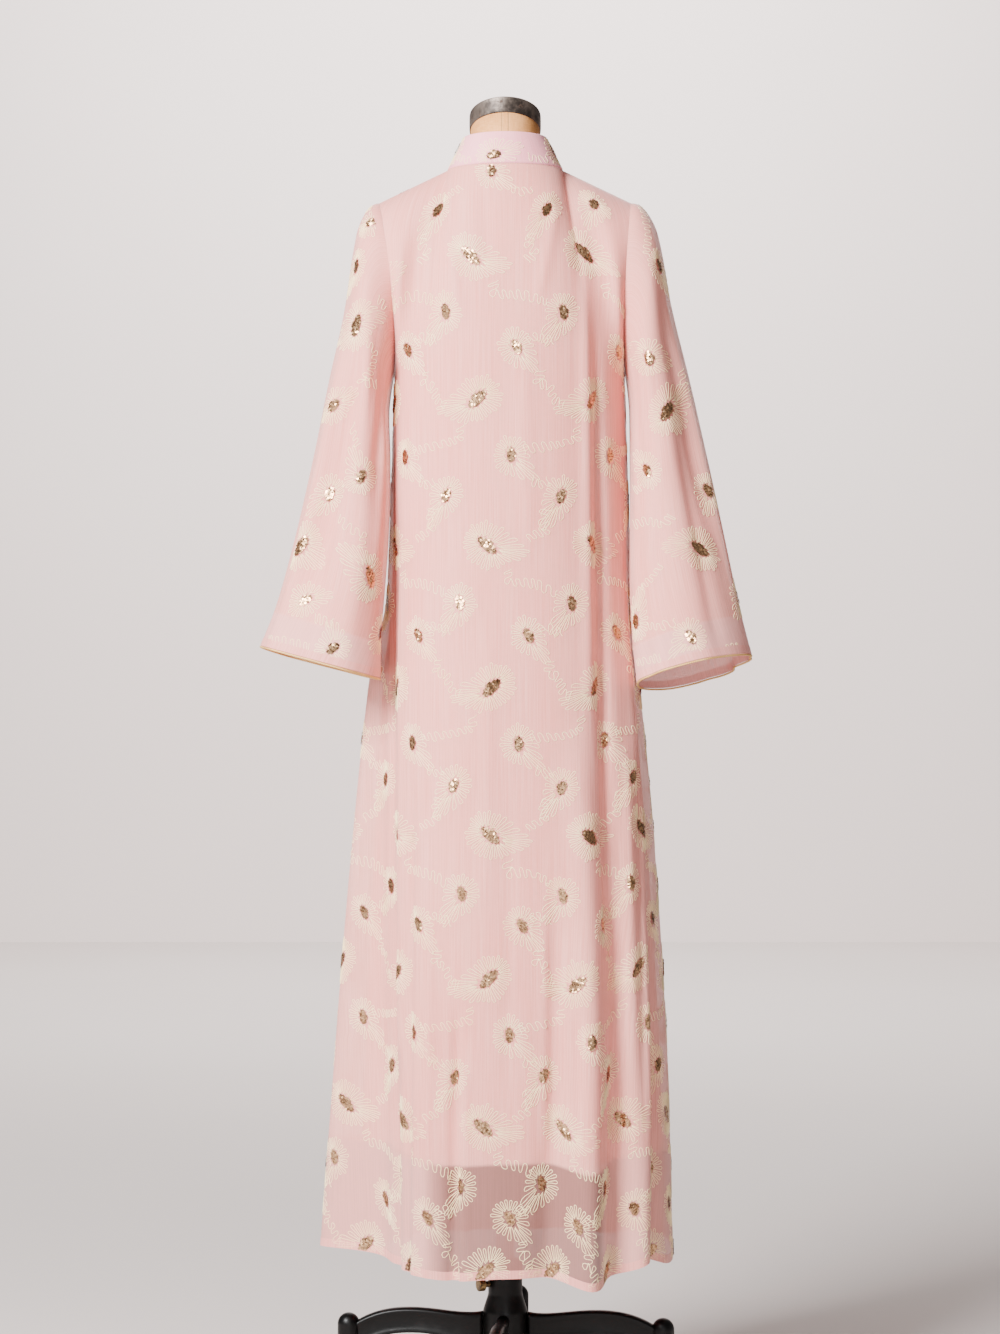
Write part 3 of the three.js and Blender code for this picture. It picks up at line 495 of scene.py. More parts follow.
def panel_grid(panel, columns, yoke_rows, skirt_count, hem_share=1.0, fold_share=1.0):
    first = skirt_rows(panel, [0], columns, fold_share)[0]
    lines = [spread(yoke_curve(panel, c / columns, first[c]), yoke_rows) for c in range(columns + 1)]
    yoke = np.stack(lines, axis=1)[:-1]
    shares = hem_share * np.arange(skirt_count + 1) / skirt_count
    return np.concatenate([yoke, skirt_rows(panel, shares, columns, fold_share)])


def armhole_edge(side):
    """The armhole's edge, by the share once round it: shoulder, back, underarm, front."""
    bottom = plan_point(180 if side < 0 else 0, UNDERARM)
    edge = 0 if side < 0 else 1
    halves = [yoke_curve(panel, edge, bottom) for panel in ("back", "front")]
    back, front = [spread(half, ARMHOLE["samples"]) for half in halves]
    line = np.concatenate([back, front[::-1][1:]])
    at = np.linspace(0, 1, len(line))
    return lambda around: points_at(around, at, line)


def fold_growth(fold, at):
    fade = SLEEVE_FORM["fold_fade"]
    return smooth((at - fold["start"]) / fade) * smooth((fold["end"] - at) / fade)


def sleeve_point(sleeve, armhole, around, at, crease_share):
    value = row_at(sleeve["rows"], "at", at)
    side = sleeve["side"]
    outer = np.array([side * value["out_x"], -value["back"] * SLEEVE_FORM["outer_back"], value["out_z"]])
    inner = np.array([side * value["in_x"], -value["back"], value["in_z"]])
    turn = around * 2 * np.pi
    c = signed_power(np.cos(turn), SLEEVE_FORM["square"])[:, None]
    s = signed_power(np.sin(turn), SLEEVE_FORM["square"])
    oval = lerp(outer, inner, (1 - c) / 2)
    oval[:, 1] -= value["depth"] * s
    rise = np.where(s > 0, sleeve["back_rise"], -sleeve["front_rise"])
    oval[:, 2] += rise * s * smooth((at - SLEEVE_FORM["rise_from"]) / (1 - SLEEVE_FORM["rise_from"]))
    outward = unit(oval - (outer + inner) / 2)
    for fold in sleeve["folds"]:
        reach = fold["depth"] * fold_growth(fold, at) * bell((around - fold["around"]) / fold["spread"])
        oval += outward * reach[:, None]
    for crease in sleeve["creases"]:
        centre = lerp(crease["around"][0], crease["around"][1], at)
        reach = crease["depth"] * crease_share * fold_growth(crease, at)
        oval += outward * (reach * bell((around - centre) / crease["spread"]))[:, None]
    return lerp(armhole(around), oval, smooth(at / SLEEVE_FORM["blend"]))


def sleeve_grid(sleeve, columns, rows, end=1.0, crease_share=1.0):
    """Rows from the armhole to the cuff. The columns start and end at the seam under the arm."""
    armhole = armhole_edge(sleeve["side"])
    around = np.linspace(0, 1, SLEEVE_SAMPLES + 1)
    top = SLEEVE_SAMPLES // 2
    grid = []
    for r in range(rows + 1):
        line = sleeve_point(sleeve, armhole, around, end * r / rows, crease_share)
        back_half = spread(line[:top + 1], columns // 2)
        front_half = spread(line[top:], columns // 2)
        grid.append(np.concatenate([front_half, back_half[1:]]))
    return np.stack(grid)


def keep_to_seam(normals, points):
    """At a seam the two panels' edges meet face to face."""
    for c in (0, -1):
        x = np.abs(points[:, c, 0])
        z = points[:, c, 2]
        centre = x < NECK["side"]
        side = (~centre) & (z < UNDERARM + SEAM_REACH)
        shoulder = (~centre) & (~side) & (np.abs(points[:, c, 1]) < SEAM_REACH)
        normals[centre, c, 0] = 0
        normals[side | shoulder, c, 1] = 0


def grid_normals(points, facing, closed=False):
    if closed:
        across = np.roll(points[:, :-1], -1, axis=1) - np.roll(points[:, :-1], 1, axis=1)
        across = np.concatenate([across, across[:, :1]], axis=1)
    else:
        across = np.gradient(points, axis=1)
    down = np.gradient(points, axis=0)
    normals = np.cross(across, down) * facing
    if not closed:
        keep_to_seam(normals, points)
    return unit(normals)


def inset(points, facing, depth, closed=False):
    depth = np.broadcast_to(np.asarray(depth, float), points.shape[:2])
    return points - grid_normals(points, facing, closed) * depth[..., None]


def row_lengths(points):
    """How far each point lies along its row, from the row's first point."""
    steps = np.linalg.norm(np.diff(points, axis=1), axis=2)
    return np.concatenate([np.zeros((len(points), 1)), np.cumsum(steps, axis=1)], axis=1)


def crease(points, facing, creases, share=1.0):
    """Adds small creases, which die out at their ends and at the seams."""
    along = row_lengths(points)
    rows, columns = along.shape
    monotone = np.maximum.accumulate(points[..., 0], axis=1)
    middle = points[:, columns // 2, 2]
    push = np.zeros((rows, columns))
    for line in creases:
        top, bottom = line["z"]
        down = (top - middle) / (top - bottom)
        x = lerp(line["x"][0], line["x"][1], np.clip(down, 0, 1))
        centre = np.array([np.interp(x[r], monotone[r], along[r]) for r in range(rows)])
        fade = smooth(down / CREASE_FADE["share"])
        if bottom >= HEM_HEIGHT + CREASE_FADE["near_hem"]:
            fade = fade * smooth((CREASE_FADE["end"] - down) / CREASE_FADE["share"])
        push += line["depth"] * share * fade[:, None] * bell((along - centre[:, None]) / line["width"])
    edge = np.arange(columns) / (columns - 1)
    push *= smooth(np.minimum(edge, 1 - edge) / CREASE_FADE["edge"])
    push *= smooth(np.arange(rows) / CREASE_FADE["rows"])[:, None]
    return inset(points, facing, -push)


class Cloth:
    """A panel's outer face, in rows from its top down, with distances across and down it."""

    def __init__(self, points, facing, closed=False, middle=None, flip=1):
        self.points = points
        self.facing = facing
        self.closed = closed
        self.normals = grid_normals(points, facing, closed)
        along = row_lengths(points)
        if middle is None:
            level = np.maximum.accumulate(points[..., 0], axis=1)
            start = np.array([np.interp(0, level[r], along[r]) for r in range(len(points))])
            column = points.shape[1] // 2
        else:
            start = along[:, middle]
            column = middle
        self.across = along - start[:, None]
        self.down = lengths(points[:, column])
        self.flip = flip

    def on_row(self, row, s, lift):
        # More than any cloth's width, so that the rows don't mix in one sorted list
        big = 1e5
        rows, columns = self.across.shape
        flat = (self.across + np.arange(rows)[:, None] * big).ravel()
        c = np.clip(np.searchsorted(flat, s + row * big) - 1 - row * columns, 0, columns - 2)
        left = self.across[row, c]
        share = np.clip((s - left) / (self.across[row, c + 1] - left), 0, 1)[:, None]
        point = lerp(self.points[row, c], self.points[row, c + 1], share)
        return point + lerp(self.normals[row, c], self.normals[row, c + 1], share) * lift[:, None]

    def place(self, s, t, lift):
        """Points that lie s across and t down the cloth, and a little above it."""
        s = s * self.flip
        row = np.interp(t, self.down, np.arange(len(self.down)))
        top = np.clip(row.astype(int), 0, len(self.down) - 2)
        share = (row - top)[:, None]
        return lerp(self.on_row(top, s, lift), self.on_row(top + 1, s, lift), share)

    def local(self, s, t):
        """Turns distances right and down on the cloth, near one place, into steps of s and t."""
        if not self.closed:
            return np.eye(2)
        step = 2.0
        t = np.clip(t, step, self.down[-1] - step)
        s = np.clip(s, self.across[:, 0].max() + step, self.across[:, -1].min() - step)
        beside = s + np.array([-step, step, 0, 0])
        below = t + np.array([0, 0, -step, step])
        left, right, above, under = self.place(beside, below, np.zeros(4))
        along = (right - left) / (2 * step)
        down = (under - above) / (2 * step)
        length = np.linalg.norm(down)
        slant = along @ down / length
        wide = np.linalg.norm(along - down * slant / length)
        return np.array([[1 / wide, -slant / (wide * length)], [0, 1 / length]])

    def holds(self, s, t, margin):
        s = s * self.flip
        left = np.interp(t, self.down, self.across[:, 0]) + margin
        right = np.interp(t, self.down, self.across[:, -1]) - margin
        return (t > margin) & (t < self.down[-1] - margin) & (s > left) & (s < right)

    def uv(self):
        t = np.broadcast_to(self.down[:, None], self.across.shape)
        return np.stack([self.across, t], axis=-1) * MM


# Meshes
def link(name, mesh, material):
    mesh.materials.append(material)
    piece = bpy.data.objects.new(name, mesh)
    bpy.context.scene.collection.objects.link(piece)
    return piece


def mesh_of(name, points, faces, material, uv=None, sharp=None, is_smooth=True):
    """One mesh from points in millimetres. uv has a pair for each point. sharp marks border points."""
    mesh = bpy.data.meshes.new(name)
    mesh.from_pydata((np.asarray(points) * MM).tolist(), [], [list(f) for f in faces])
    mesh.polygons.foreach_set("use_smooth", [is_smooth] * len(mesh.polygons))
    if uv is not None:
        corners = np.zeros(len(mesh.loops), int)
        mesh.loops.foreach_get("vertex_index", corners)
        mesh.uv_layers.new(name="UVMap").data.foreach_set("uv", np.asarray(uv)[corners].ravel())
    if sharp is not None:
        ends = np.zeros(len(mesh.edges) * 2, int)
        mesh.edges.foreach_get("vertices", ends)
        mesh.edges.foreach_set("use_edge_sharp", np.asarray(sharp)[ends.reshape(-1, 2)].all(axis=1).tolist())
    mesh.update()
    return link(name, mesh, material)


def grid_faces(rows, columns, first=0, flip=False):
    r, c = np.meshgrid(np.arange(rows - 1), np.arange(columns - 1), indexing="ij")
    a = first + r * columns + c
    quads = np.stack([a, a + columns, a + columns + 1, a + 1], axis=-1).reshape(-1, 4)
    return quads[:, ::-1] if flip else quads


def shell(name, outer, inner, facing, material, uv):
    """A thin closed cloth: an outer and an inner face, joined all round."""
    rows, columns = outer.shape[:2]
    count = rows * columns
    points = np.concatenate([outer.reshape(-1, 3), inner.reshape(-1, 3)])
    flip = facing < 0
    faces = [grid_faces(rows, columns, 0, not flip), grid_faces(rows, columns, count, flip)]
    number = np.arange(count).reshape(rows, columns)
    border = np.concatenate([number[0], number[1:, -1], number[-1, -2::-1], number[-2:0:-1, 0]])
    after = np.roll(border, -1)
    rim = np.stack([border, after, after + count, border + count], axis=-1)
    faces.append(rim if flip else rim[:, ::-1])
    sharp = np.zeros(count, bool)
    sharp[border] = True
    flat = uv.reshape(-1, 2)
    everything = np.concatenate(faces)
    return mesh_of(name, points, everything, material, np.concatenate([flat, flat]), np.tile(sharp, 2))


def outer_cloth(name, cloth, lined_share, bare, doubled=None):
    """The sheer cloth of one panel, whose lining ends at a share of its rows; below that it takes painted
    shade in the bare and doubled tones.
    """
    row = lined_share * (len(cloth.down) - 1)
    lined_to = np.interp(row, np.arange(len(cloth.down)), cloth.down) * MM
    material = sheer_cloth(name, CLOTH_LIGHT, CLOTH_DEEP, CLOTH_ALPHA, lined_to, bare, doubled)
    return cloth_shell(name, cloth, SHEER, material)


def cloth_shell(name, cloth, thickness, material):
    inner = inset(cloth.points, cloth.facing, thickness, cloth.closed)
    return shell(name, cloth.points, inner, cloth.facing, material, cloth.uv())


def loft(name, rings, material, caps=(True, True)):
    """A solid through closed rings of points, the lowest first."""
    rings = np.asarray(rings, float)
    count = rings.shape[1]
    points = list(rings.reshape(-1, 3))
    faces = []
    for r in range(len(rings) - 1):
        for c in range(count):
            a = r * count + c
            b = r * count + (c + 1) % count
            faces.append((a, b, b + count, a + count))
    if caps[0]:
        faces.append(tuple(range(count))[::-1])
    if caps[1]:
        faces.append(tuple(range((len(rings) - 1) * count, len(rings) * count)))
    return mesh_of(name, points, faces, material)


def turned(profile, sides):
    """Rings of a turned piece, from a list of radius and height. A tiny ring stands for the axis."""
    turn = np.linspace(0, 2 * np.pi, sides, endpoint=False)
    ring = np.stack([np.cos(turn), np.sin(turn)], axis=1)
    rings = []
    for radius, height in profile:
        rings.append(np.column_stack([ring * max(radius, AXIS_RADIUS), np.full(sides, height)]))
    return rings


def softened(profile, radius, steps=4):
    """A profile with its corners rounded, by less than half of each side next to them."""
    profile = [np.array(p, float) for p in profile]
    result = [profile[0]]
    for before, corner, after in zip(profile, profile[1:], profile[2:]):
        shorter = min(np.linalg.norm(before - corner), np.linalg.norm(after - corner))
        reach = min(radius, shorter / CORNER_DIVISOR)
        start = corner + unit(before - corner) * reach
        end = corner + unit(after - corner) * reach
        for k in range(steps + 1):
            t = k / steps
            result.append((1 - t) ** 2 * start + 2 * t * (1 - t) * corner + t * t * end)
    result.append(profile[-1])
    return [tuple(p) for p in result]


# Look of the cloth, in metres. The first three are how often noise repeats in a metre across and down
CHIFFON = {
    "streaks": (620, 9, 1), "crinkles": (230, 14, 1), "clouds": (14, 4, 1), "weave": 500,
    "streak_cover": 0.16, "weave_cover": 0.08, "mean_cover": 0.12,
}
CLOTH_LIGHT = srgb(253, 184, 172)
CLOTH_DEEP = srgb(249, 168, 154)
CLOTH_ALPHA = 0.5
# Below the lining, seen through the sheer cloth: painted shade, the cloth's colour darkened to stand for the
# shaded hollow inside. It is deepest in the middle of the back, lighter in the doubled tone on the fronts
# and at the sides of the back, and lightest at the cuffs. The cloth is also made less see-through there.
BARE_SKIRT_PAINTED_SHADE = srgb(152, 102, 94)
DOUBLED_SKIRT_PAINTED_SHADE = srgb(226, 158, 148)
BARE_CUFF_PAINTED_SHADE = srgb(242, 172, 163)
BARE_ALPHA = 0.24
BARE_MIDDLE = (-0.105, 0.15)
BARE_BLEND = 0.02
LINING_LINE = 0.003
LINEN_SEAM = {"half_gap": 0.0045, "line": (0.0003, 0.0011)}


# Shader maths
class Socket:
    """An output of a node tree, which takes part in sums."""

    def __init__(self, paint, socket):
        self.paint = paint
        self.socket = socket

    def maths(self, operation, *others):
        return self.paint.node("ShaderNodeMath", {"operation": operation}, dict(enumerate((self, *others))))

    def __add__(self, other):
        return self.maths("ADD", other)

    def __sub__(self, other):
        return self.maths("SUBTRACT", other)

    def __rsub__(self, other):
        return self.paint.node("ShaderNodeMath", {"operation": "SUBTRACT"}, {0: other, 1: self})

    def __mul__(self, other):
        return self.maths("MULTIPLY", other)

    def over(self, low, high):
        """0 below low and 1 above high, smoothly."""
        settings = {"interpolation_type": "SMOOTHSTEP"}
        inputs = {"Value": self, "From Min": low, "From Max": high}
        return self.paint.node("ShaderNodeMapRange", settings, inputs)


class Paint:
    """A procedural material."""

    def __init__(self, name, **fixed):
        self.material = bpy.data.materials.new(name)
        self.material.use_nodes = True
        self.tree = self.material.node_tree
        self.shader = self.tree.nodes["Principled BSDF"]
        for key, value in fixed.items():
            self.shader.inputs[key.replace("_", " ")].default_value = value

    def node(self, kind, settings=None, inputs=None, output=0):
        """Any node: its settings first, then the values or links of its sockets."""
        node = self.tree.nodes.new(kind)
        for key, value in (settings or {}).items():
            setattr(node, key, value)
        for key, value in (inputs or {}).items():
            socket = node.inputs[key]
            if isinstance(value, Socket):
                self.tree.links.new(value.socket, socket)
            else:
                socket.default_value = value
        return Socket(self, node.outputs[output])

    def feed(self, name, value):
        self.tree.links.new(value.socket, self.shader.inputs[name])

    def place(self, kind="Object"):
        return self.node("ShaderNodeTexCoord", output=kind)

    def stretched(self, vector, x, y, z):
        settings = {"operation": "MULTIPLY"}
        return self.node("ShaderNodeVectorMath", settings, {0: vector, 1: (x, y, z)})

    def noise(self, vector, scale=1.0, detail=2.0, rough=0.5):
        inputs = {"Vector": vector, "Scale": scale, "Detail": detail, "Roughness": rough}
        return self.node("ShaderNodeTexNoise", {}, inputs)

    def mix(self, share, a, b):
        inputs = {"Factor": share, 6: a, 7: b}
        return self.node("ShaderNodeMix", {"data_type": "RGBA"}, inputs, output=2)

    def colour(self, share, low, high):
        """The surface's colour, between two screen colours."""
        self.feed("Base Color", self.mix(share, srgb(*low), srgb(*high)))

    def bump(self, height, strength, distance):
        inputs = {"Height": height, "Strength": strength, "Distance": distance}
        self.feed("Normal", self.node("ShaderNodeBump", {}, inputs))


def sheer_cloth(name, light, deep, alpha, lined_to=None, bare=None, doubled=None):
    """Crinkled chiffon, by a UV map in metres across and down the cloth.

    Below lined_to it has the bare colour, and the doubled one away from the middle: both are painted shade,
    darker tones that stand for the shaded hollow seen through the cloth.
    """
    paint = Paint(name, Roughness=0.78, Specular_IOR_Level=0.25, Sheen_Weight=0.25, Sheen_Roughness=0.5)
    uv = paint.place("UV")
    streak = paint.noise(paint.stretched(uv, *CHIFFON["streaks"]), 1.0, 2.0, 0.6)
    crinkle = paint.noise(paint.stretched(uv, *CHIFFON["crinkles"]), 1.0, 1.0)
    soft = paint.noise(paint.stretched(uv, *CHIFFON["clouds"]), 1.0, 2.0)
    threads = {"Vector": uv, "Scale": CHIFFON["weave"]}
    warp = paint.node("ShaderNodeTexWave", {"bands_direction": "X"}, threads)
    weft = paint.node("ShaderNodeTexWave", {"bands_direction": "Y"}, threads)
    weave = warp * weft
    tone = streak * 0.6 + soft * 0.4
    colour = paint.mix(tone.over(0.3, 0.7), deep, light)
    cover = streak.over(0.2, 0.8) * CHIFFON["streak_cover"] + weave * CHIFFON["weave_cover"]
    cover = cover + (alpha - CHIFFON["mean_cover"])
    if lined_to is not None:
        # Painted shade: below the lining the colour turns to the bare tone, and to the lighter doubled tone
        # away from the middle
        down = paint.node("ShaderNodeSeparateXYZ", {}, {"Vector": uv}, output=1)
        below = down.over(lined_to - LINING_LINE, lined_to + LINING_LINE)
        if doubled is not None:
            across = paint.node("ShaderNodeSeparateXYZ", {}, {"Vector": uv})
            left, right = [across.over(x - BARE_BLEND, x + BARE_BLEND) for x in BARE_MIDDLE]
            middle = left * (1 - right)
            bare = paint.mix(middle, doubled, bare)
        colour = paint.mix(below, colour, bare)
        cover = cover + below * BARE_ALPHA
    paint.feed("Base Color", colour)
    paint.feed("Alpha", cover)
    paint.bump(streak * 0.7 + crinkle * 0.8 + weave * 0.15, 0.35, 0.0006)
    return paint.material


band_cloth = sheer_cloth("hem_cloth", srgb(246, 172, 162), srgb(238, 154, 144), 0.8)


def lining_cloth():
    paint = Paint("lining_cloth", Roughness=0.55, Specular_IOR_Level=0.35, Sheen_Weight=0.15)
    uv = paint.place("UV")
    slub = paint.noise(paint.stretched(uv, 300, 20, 1), 1.0, 2.0)
    soft = paint.noise(paint.stretched(uv, 10, 5, 1), 1.0, 2.0)
    tone = (slub * 0.5 + soft * 0.5).over(0.3, 0.7)
    paint.colour(tone, (248, 156, 144), (252, 172, 160))
    paint.bump(slub, 0.2, 0.0004)
    return paint.material


def collar_cloth():
    paint = Paint("collar_cloth", Roughness=0.7, Specular_IOR_Level=0.25, Sheen_Weight=0.25)
    uv = paint.place("UV")
    streak = paint.noise(paint.stretched(uv, 620, 18, 1), 1.0, 2.0, 0.6)
    soft = paint.noise(paint.stretched(uv, 22, 16, 1), 1.0, 2.0)
    tone = streak * 0.45 + soft * 0.55
    paint.colour(tone.over(0.3, 0.7), (240, 148, 160), (250, 170, 180))
    paint.bump(streak * 0.7 + soft * 2.0, 0.35, 0.0008)
    return paint.material


def thread():
    paint = Paint("cream_thread", Roughness=0.6, Specular_IOR_Level=0.35, Sheen_Weight=0.2)
    place = paint.place()
    twist = paint.noise(place, 900.0, 2.0)
    soft = paint.noise(place, 12.0, 2.0)
    tone = (twist * 0.6 + soft * 0.4).over(0.3, 0.7)
    paint.colour(tone, (255, 216, 158), (255, 236, 186))
    paint.bump(twist, 0.5, 0.0003)
    return paint.material


def sequin():
    """Its UV map gives each sequin one place, so each has its own tone."""
    paint = Paint("bronze_sequin", Specular_IOR_Level=0.6)
    uv = paint.place("UV")
    pick = paint.node("ShaderNodeTexWhiteNoise", {"noise_dimensions": "2D"}, {"Vector": uv})
    tone = pick.over(0.0, 1.0)
    paint.colour(tone, (112, 80, 56), (214, 172, 130))
    paint.feed("Roughness", pick * 0.2 + 0.2)
    paint.feed("Metallic", pick * 0.1 + 0.85)
    return paint.material


def braid():
    paint = Paint("gold_braid", Specular_IOR_Level=0.5)
    place = paint.place()
    fibre = paint.noise(place, 1400.0, 3.0)
    soft = paint.noise(place, 30.0, 2.0)
    tone = (fibre * 0.6 + soft * 0.4).over(0.3, 0.7)
    paint.colour(tone, (196, 144, 74), (244, 206, 138))
    paint.feed("Metallic", tone * 0.2 + 0.35)
    paint.feed("Roughness", fibre * 0.25 + 0.35)
    paint.bump(fibre, 0.5, 0.0003)
    return paint.material


def linen():
    paint = Paint("linen", Roughness=0.85, Specular_IOR_Level=0.2)
    place = paint.place()
    warp = paint.noise(paint.stretched(place, 1500, 1500, 90), 1.0, 2.0)
    weft = paint.noise(paint.stretched(place, 120, 120, 1500), 1.0, 2.0)
    soft = paint.noise(place, 14.0, 3.0)
    tone = (warp * 0.35 + weft * 0.35 + soft * 0.3).over(0.35, 0.65)
    x = paint.node("ShaderNodeSeparateXYZ", {}, {"Vector": place})
    from_seam = (x.maths("ABSOLUTE") - LINEN_SEAM["half_gap"]).maths("ABSOLUTE")
    seam = 1 - from_seam.over(*LINEN_SEAM["line"])
    cloth = paint.mix(tone, srgb(200, 134, 74), srgb(230, 164, 104))
    paint.feed("Base Color", paint.mix(seam * 0.6, cloth, srgb(168, 130, 92)))
    paint.bump(warp + weft - seam * 3, 0.5, 0.0005)
    return paint.material


def worn_zinc():
    paint = Paint("worn_zinc", Specular_IOR_Level=0.5)
    place = paint.place()
    grain = paint.noise(place, 260.0, 4.0, 0.6)
    patch = paint.noise(place, 38.0, 4.0, 0.65)
    rust = paint.noise(paint.stretched(place, 70, 70, 110), 1.0, 4.0, 0.7).over(0.6, 0.68)
    grey = paint.mix(patch.over(0.35, 0.65), srgb(54, 47, 43), srgb(112, 100, 92))
    paint.feed("Base Color", paint.mix(rust, grey, srgb(70, 52, 42)))
    paint.feed("Metallic", 0.75 - rust * 0.6)
    paint.feed("Roughness", grain * 0.3 + 0.35 + rust * 0.2)
    paint.bump(grain + rust * 0.8, 0.35, 0.0006)
    return paint.material


def steel():
    paint = Paint("steel_tube", Specular_IOR_Level=0.5)
    place = paint.place()
    drawn = paint.noise(paint.stretched(place, 900, 900, 14), 1.0, 3.0)
    patch = paint.noise(place, 30.0, 3.0)
    tone = (drawn * 0.5 + patch * 0.5).over(0.3, 0.7)
    paint.colour(tone, (120, 120, 122), (180, 180, 182))
    paint.feed("Metallic", patch * 0.1 + 0.9)
    paint.feed("Roughness", drawn * 0.25 + 0.22)
    paint.bump(drawn, 0.15, 0.0003)
    return paint.material


def black_iron():
    paint = Paint("black_iron", Specular_IOR_Level=0.2)
    place = paint.place()
    cast = paint.noise(place, 240.0, 4.0, 0.6)
    dust = paint.noise(place, 26.0, 4.0, 0.6).over(0.5, 0.75)
    paint.colour(dust, (3, 3, 3), (14, 13, 13))
    paint.feed("Roughness", dust * 0.25 + cast * 0.15 + 0.3)
    paint.bump(cast, 0.3, 0.0008)
    return paint.material


def aged_brass():
    paint = Paint("aged_brass", Specular_IOR_Level=0.5)
    place = paint.place()
    stain = paint.noise(place, 170.0, 4.0, 0.6)
    paint.colour(stain.over(0.35, 0.65), (74, 60, 44), (150, 124, 82))
    paint.feed("Metallic", stain * 0.2 + 0.75)
    paint.feed("Roughness", stain * 0.3 + 0.25)
    paint.bump(stain, 0.2, 0.0003)
    return paint.material


lining_finish = lining_cloth()
collar_finish = collar_cloth()
thread_finish = thread()
sequin_finish = sequin()
braid_finish = braid()
linen_finish = linen()
zinc_finish = worn_zinc()
steel_finish = steel()
iron_finish = black_iron()
brass_finish = aged_brass()


def dress(piece, slot, *nodes):
    """The piece rides on the part and stands for those nodes. slot is not used."""
    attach(piece, "root")
    if nodes:
        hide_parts(*nodes)
    return piece


# Embroidery
def meander(count, points_each):
    """A looping line: how far along, in loops, and from -1 to 1 across."""
    t = np.linspace(0, 2 * np.pi * count, count * points_each + 1)
    return (t + VINE_WAVE["sway"] * np.sin(2 * t)) / (2 * np.pi), -np.cos(t)


def leaning(flower):
    """Turns offsets across and down to the flower's lean."""
    lean = math.radians(flower["lean"])
    return np.array([[math.cos(lean), math.sin(lean)], [-math.sin(lean), math.cos(lean)]])


def flower_lines(flower, rng):
    """The thread round one flower, in millimetres across and down from its middle."""
    kind = flower["kind"]
    count = kind["loops"]
    petal = np.array(PETAL)
    along = (np.arange(count)[:, None] + petal[None, :, 0]).ravel()
    start = np.where(np.arange(count) % 2, FLOWER_FORM["short_start"], 0.0)[:, None]
    level = (start + (1 - start) * petal[None, :, 1]).ravel()
    angle = 2 * np.pi * along / count
    reach = np.repeat(1 + FLOWER_FORM["uneven"] * rng.uniform(-1, 1, count), len(petal))
    turn = leaning(flower)
    direction = np.stack([np.cos(angle), np.sin(angle)], axis=1)
    leaf = np.array([kind["long"] / 2, kind["wide"] / 2]) + FLOWER_FORM["inner_gap"]
    inner = direction * leaf @ turn
    outer = direction * [kind["ring_long"], kind["ring_wide"]] * reach[:, None] @ turn
    tail = np.array(flower["tail"], float)
    towards = np.arctan2(outer[:, 1], outer[:, 0]) - math.atan2(tail[1], tail[0])
    towards = (towards + np.pi) % (2 * np.pi) - np.pi
    swept = bell(towards / FLOWER_FORM["tail_spread"])[:, None] * tail
    return lerp(inner + swept * FLOWER_FORM["tail_at_start"], outer + swept, level[:, None])


def vine_lines(path, rng):
    """A looping thread along a path."""
    path = np.array(path, float)
    steps = lengths(path)
    fine = np.linspace(0, steps[-1], VINE_WAVE["samples"])
    line = points_at(fine, steps, path)
    reach = VINE_WAVE["smoothing"]
    kernel = np.hanning(2 * reach + 1)
    kernel = kernel / kernel.sum()
    padded = np.pad(line, ((reach, reach), (0, 0)), mode="edge")
    line = np.stack([np.convolve(padded[:, k], kernel, "valid") for k in (0, 1)], axis=1)
    count = max(2, round(steps[-1] / VINE_WAVE["pitch"]))
    along, level = meander(count, VINE_WAVE["points_each"])
    widths = np.concatenate([[0], np.cumsum(rng.uniform(*VINE_WAVE["widths"], count))])
    at = np.interp(along, np.arange(count + 1), widths / widths[-1]) * steps[-1]
    middle = points_at(at, fine, line)
    heading = unit(np.gradient(line, axis=0))
    side = points_at(at, fine, np.stack([-heading[:, 1], heading[:, 0]], axis=1))
    heights = rng.uniform(*VINE_WAVE["heights"], count + 1)
    height = VINE_WAVE["height"] * np.interp(along, np.arange(count + 1), heights)
    slant = np.stack([side[:, 1], -side[:, 0]], axis=1) * VINE_WAVE["slant"]
    return middle + (side + slant) * (level * height)[:, None]


def flower_sequins(flower):
    """Rows of overlapping sequins in a leaf shape."""
    kind = flower["kind"]
    half_long = kind["long"] / 2 - SEQUIN["radius"] * SEQUIN["end_inset"]
    half_wide = kind["wide"] / 2
    places = []
    step = SEQUIN["pitch"] * SEQUIN["overlap"]
    for row in np.arange(-half_wide, half_wide + RANGE_END, SEQUIN["pitch"]):
        reach = half_long * (1 - (row / (half_wide + SEQUIN["side_room"])) ** 2)
        places += [(x, row) for x in np.arange(-reach, reach + RANGE_END, step)]
    return np.array(places) @ leaning(flower)


def thread_strips(lines):
    """Crowned strips along lines: points as across, down and lift, and their faces."""
    points, faces, first = [], [], 0
    for line, local in lines:
        heading = unit(np.gradient(line @ np.linalg.inv(local), axis=0))
        side = np.stack([-heading[:, 1], heading[:, 0]], axis=1) * THREAD["width"] / 2 @ local
        count = len(line)
        low = np.full((count, 1), THREAD["edge"])
        high = np.full((count, 1), THREAD["crown"])
        rows = [np.hstack([line - side, low]), np.hstack([line, high]), np.hstack([line + side, low])]
        points.append(np.stack(rows, axis=1).reshape(-1, 3))
        k = first + 3 * np.arange(count - 1)
        for j in (0, 1):
            faces.append(np.stack([k + j, k + j + 1, k + j + 4, k + j + 3], axis=1))
        first += 3 * count
    return np.concatenate(points), np.concatenate(faces)


def hung(points, start, rows):
    """Moves points of the repeat to where its columns hang, by a table of column places."""
    s, t = points[..., 0], points[..., 1]
    if rows is None:
        return np.stack([s, t], axis=-1)
    down = [row["t"] for row in rows]
    first, step, before, beyond = [
        np.interp(t, down, [row[key] for row in rows]) for key in ("first", "step", "before", "beyond")]
    column = (s - start[0]) / REPEAT["across"]
    left = np.clip(column, None, 0) * before
    right = np.clip(column, 0, 1) * step + np.clip(column - 1, 0, None) * beyond
    return np.stack([first + left + right, t], axis=-1)


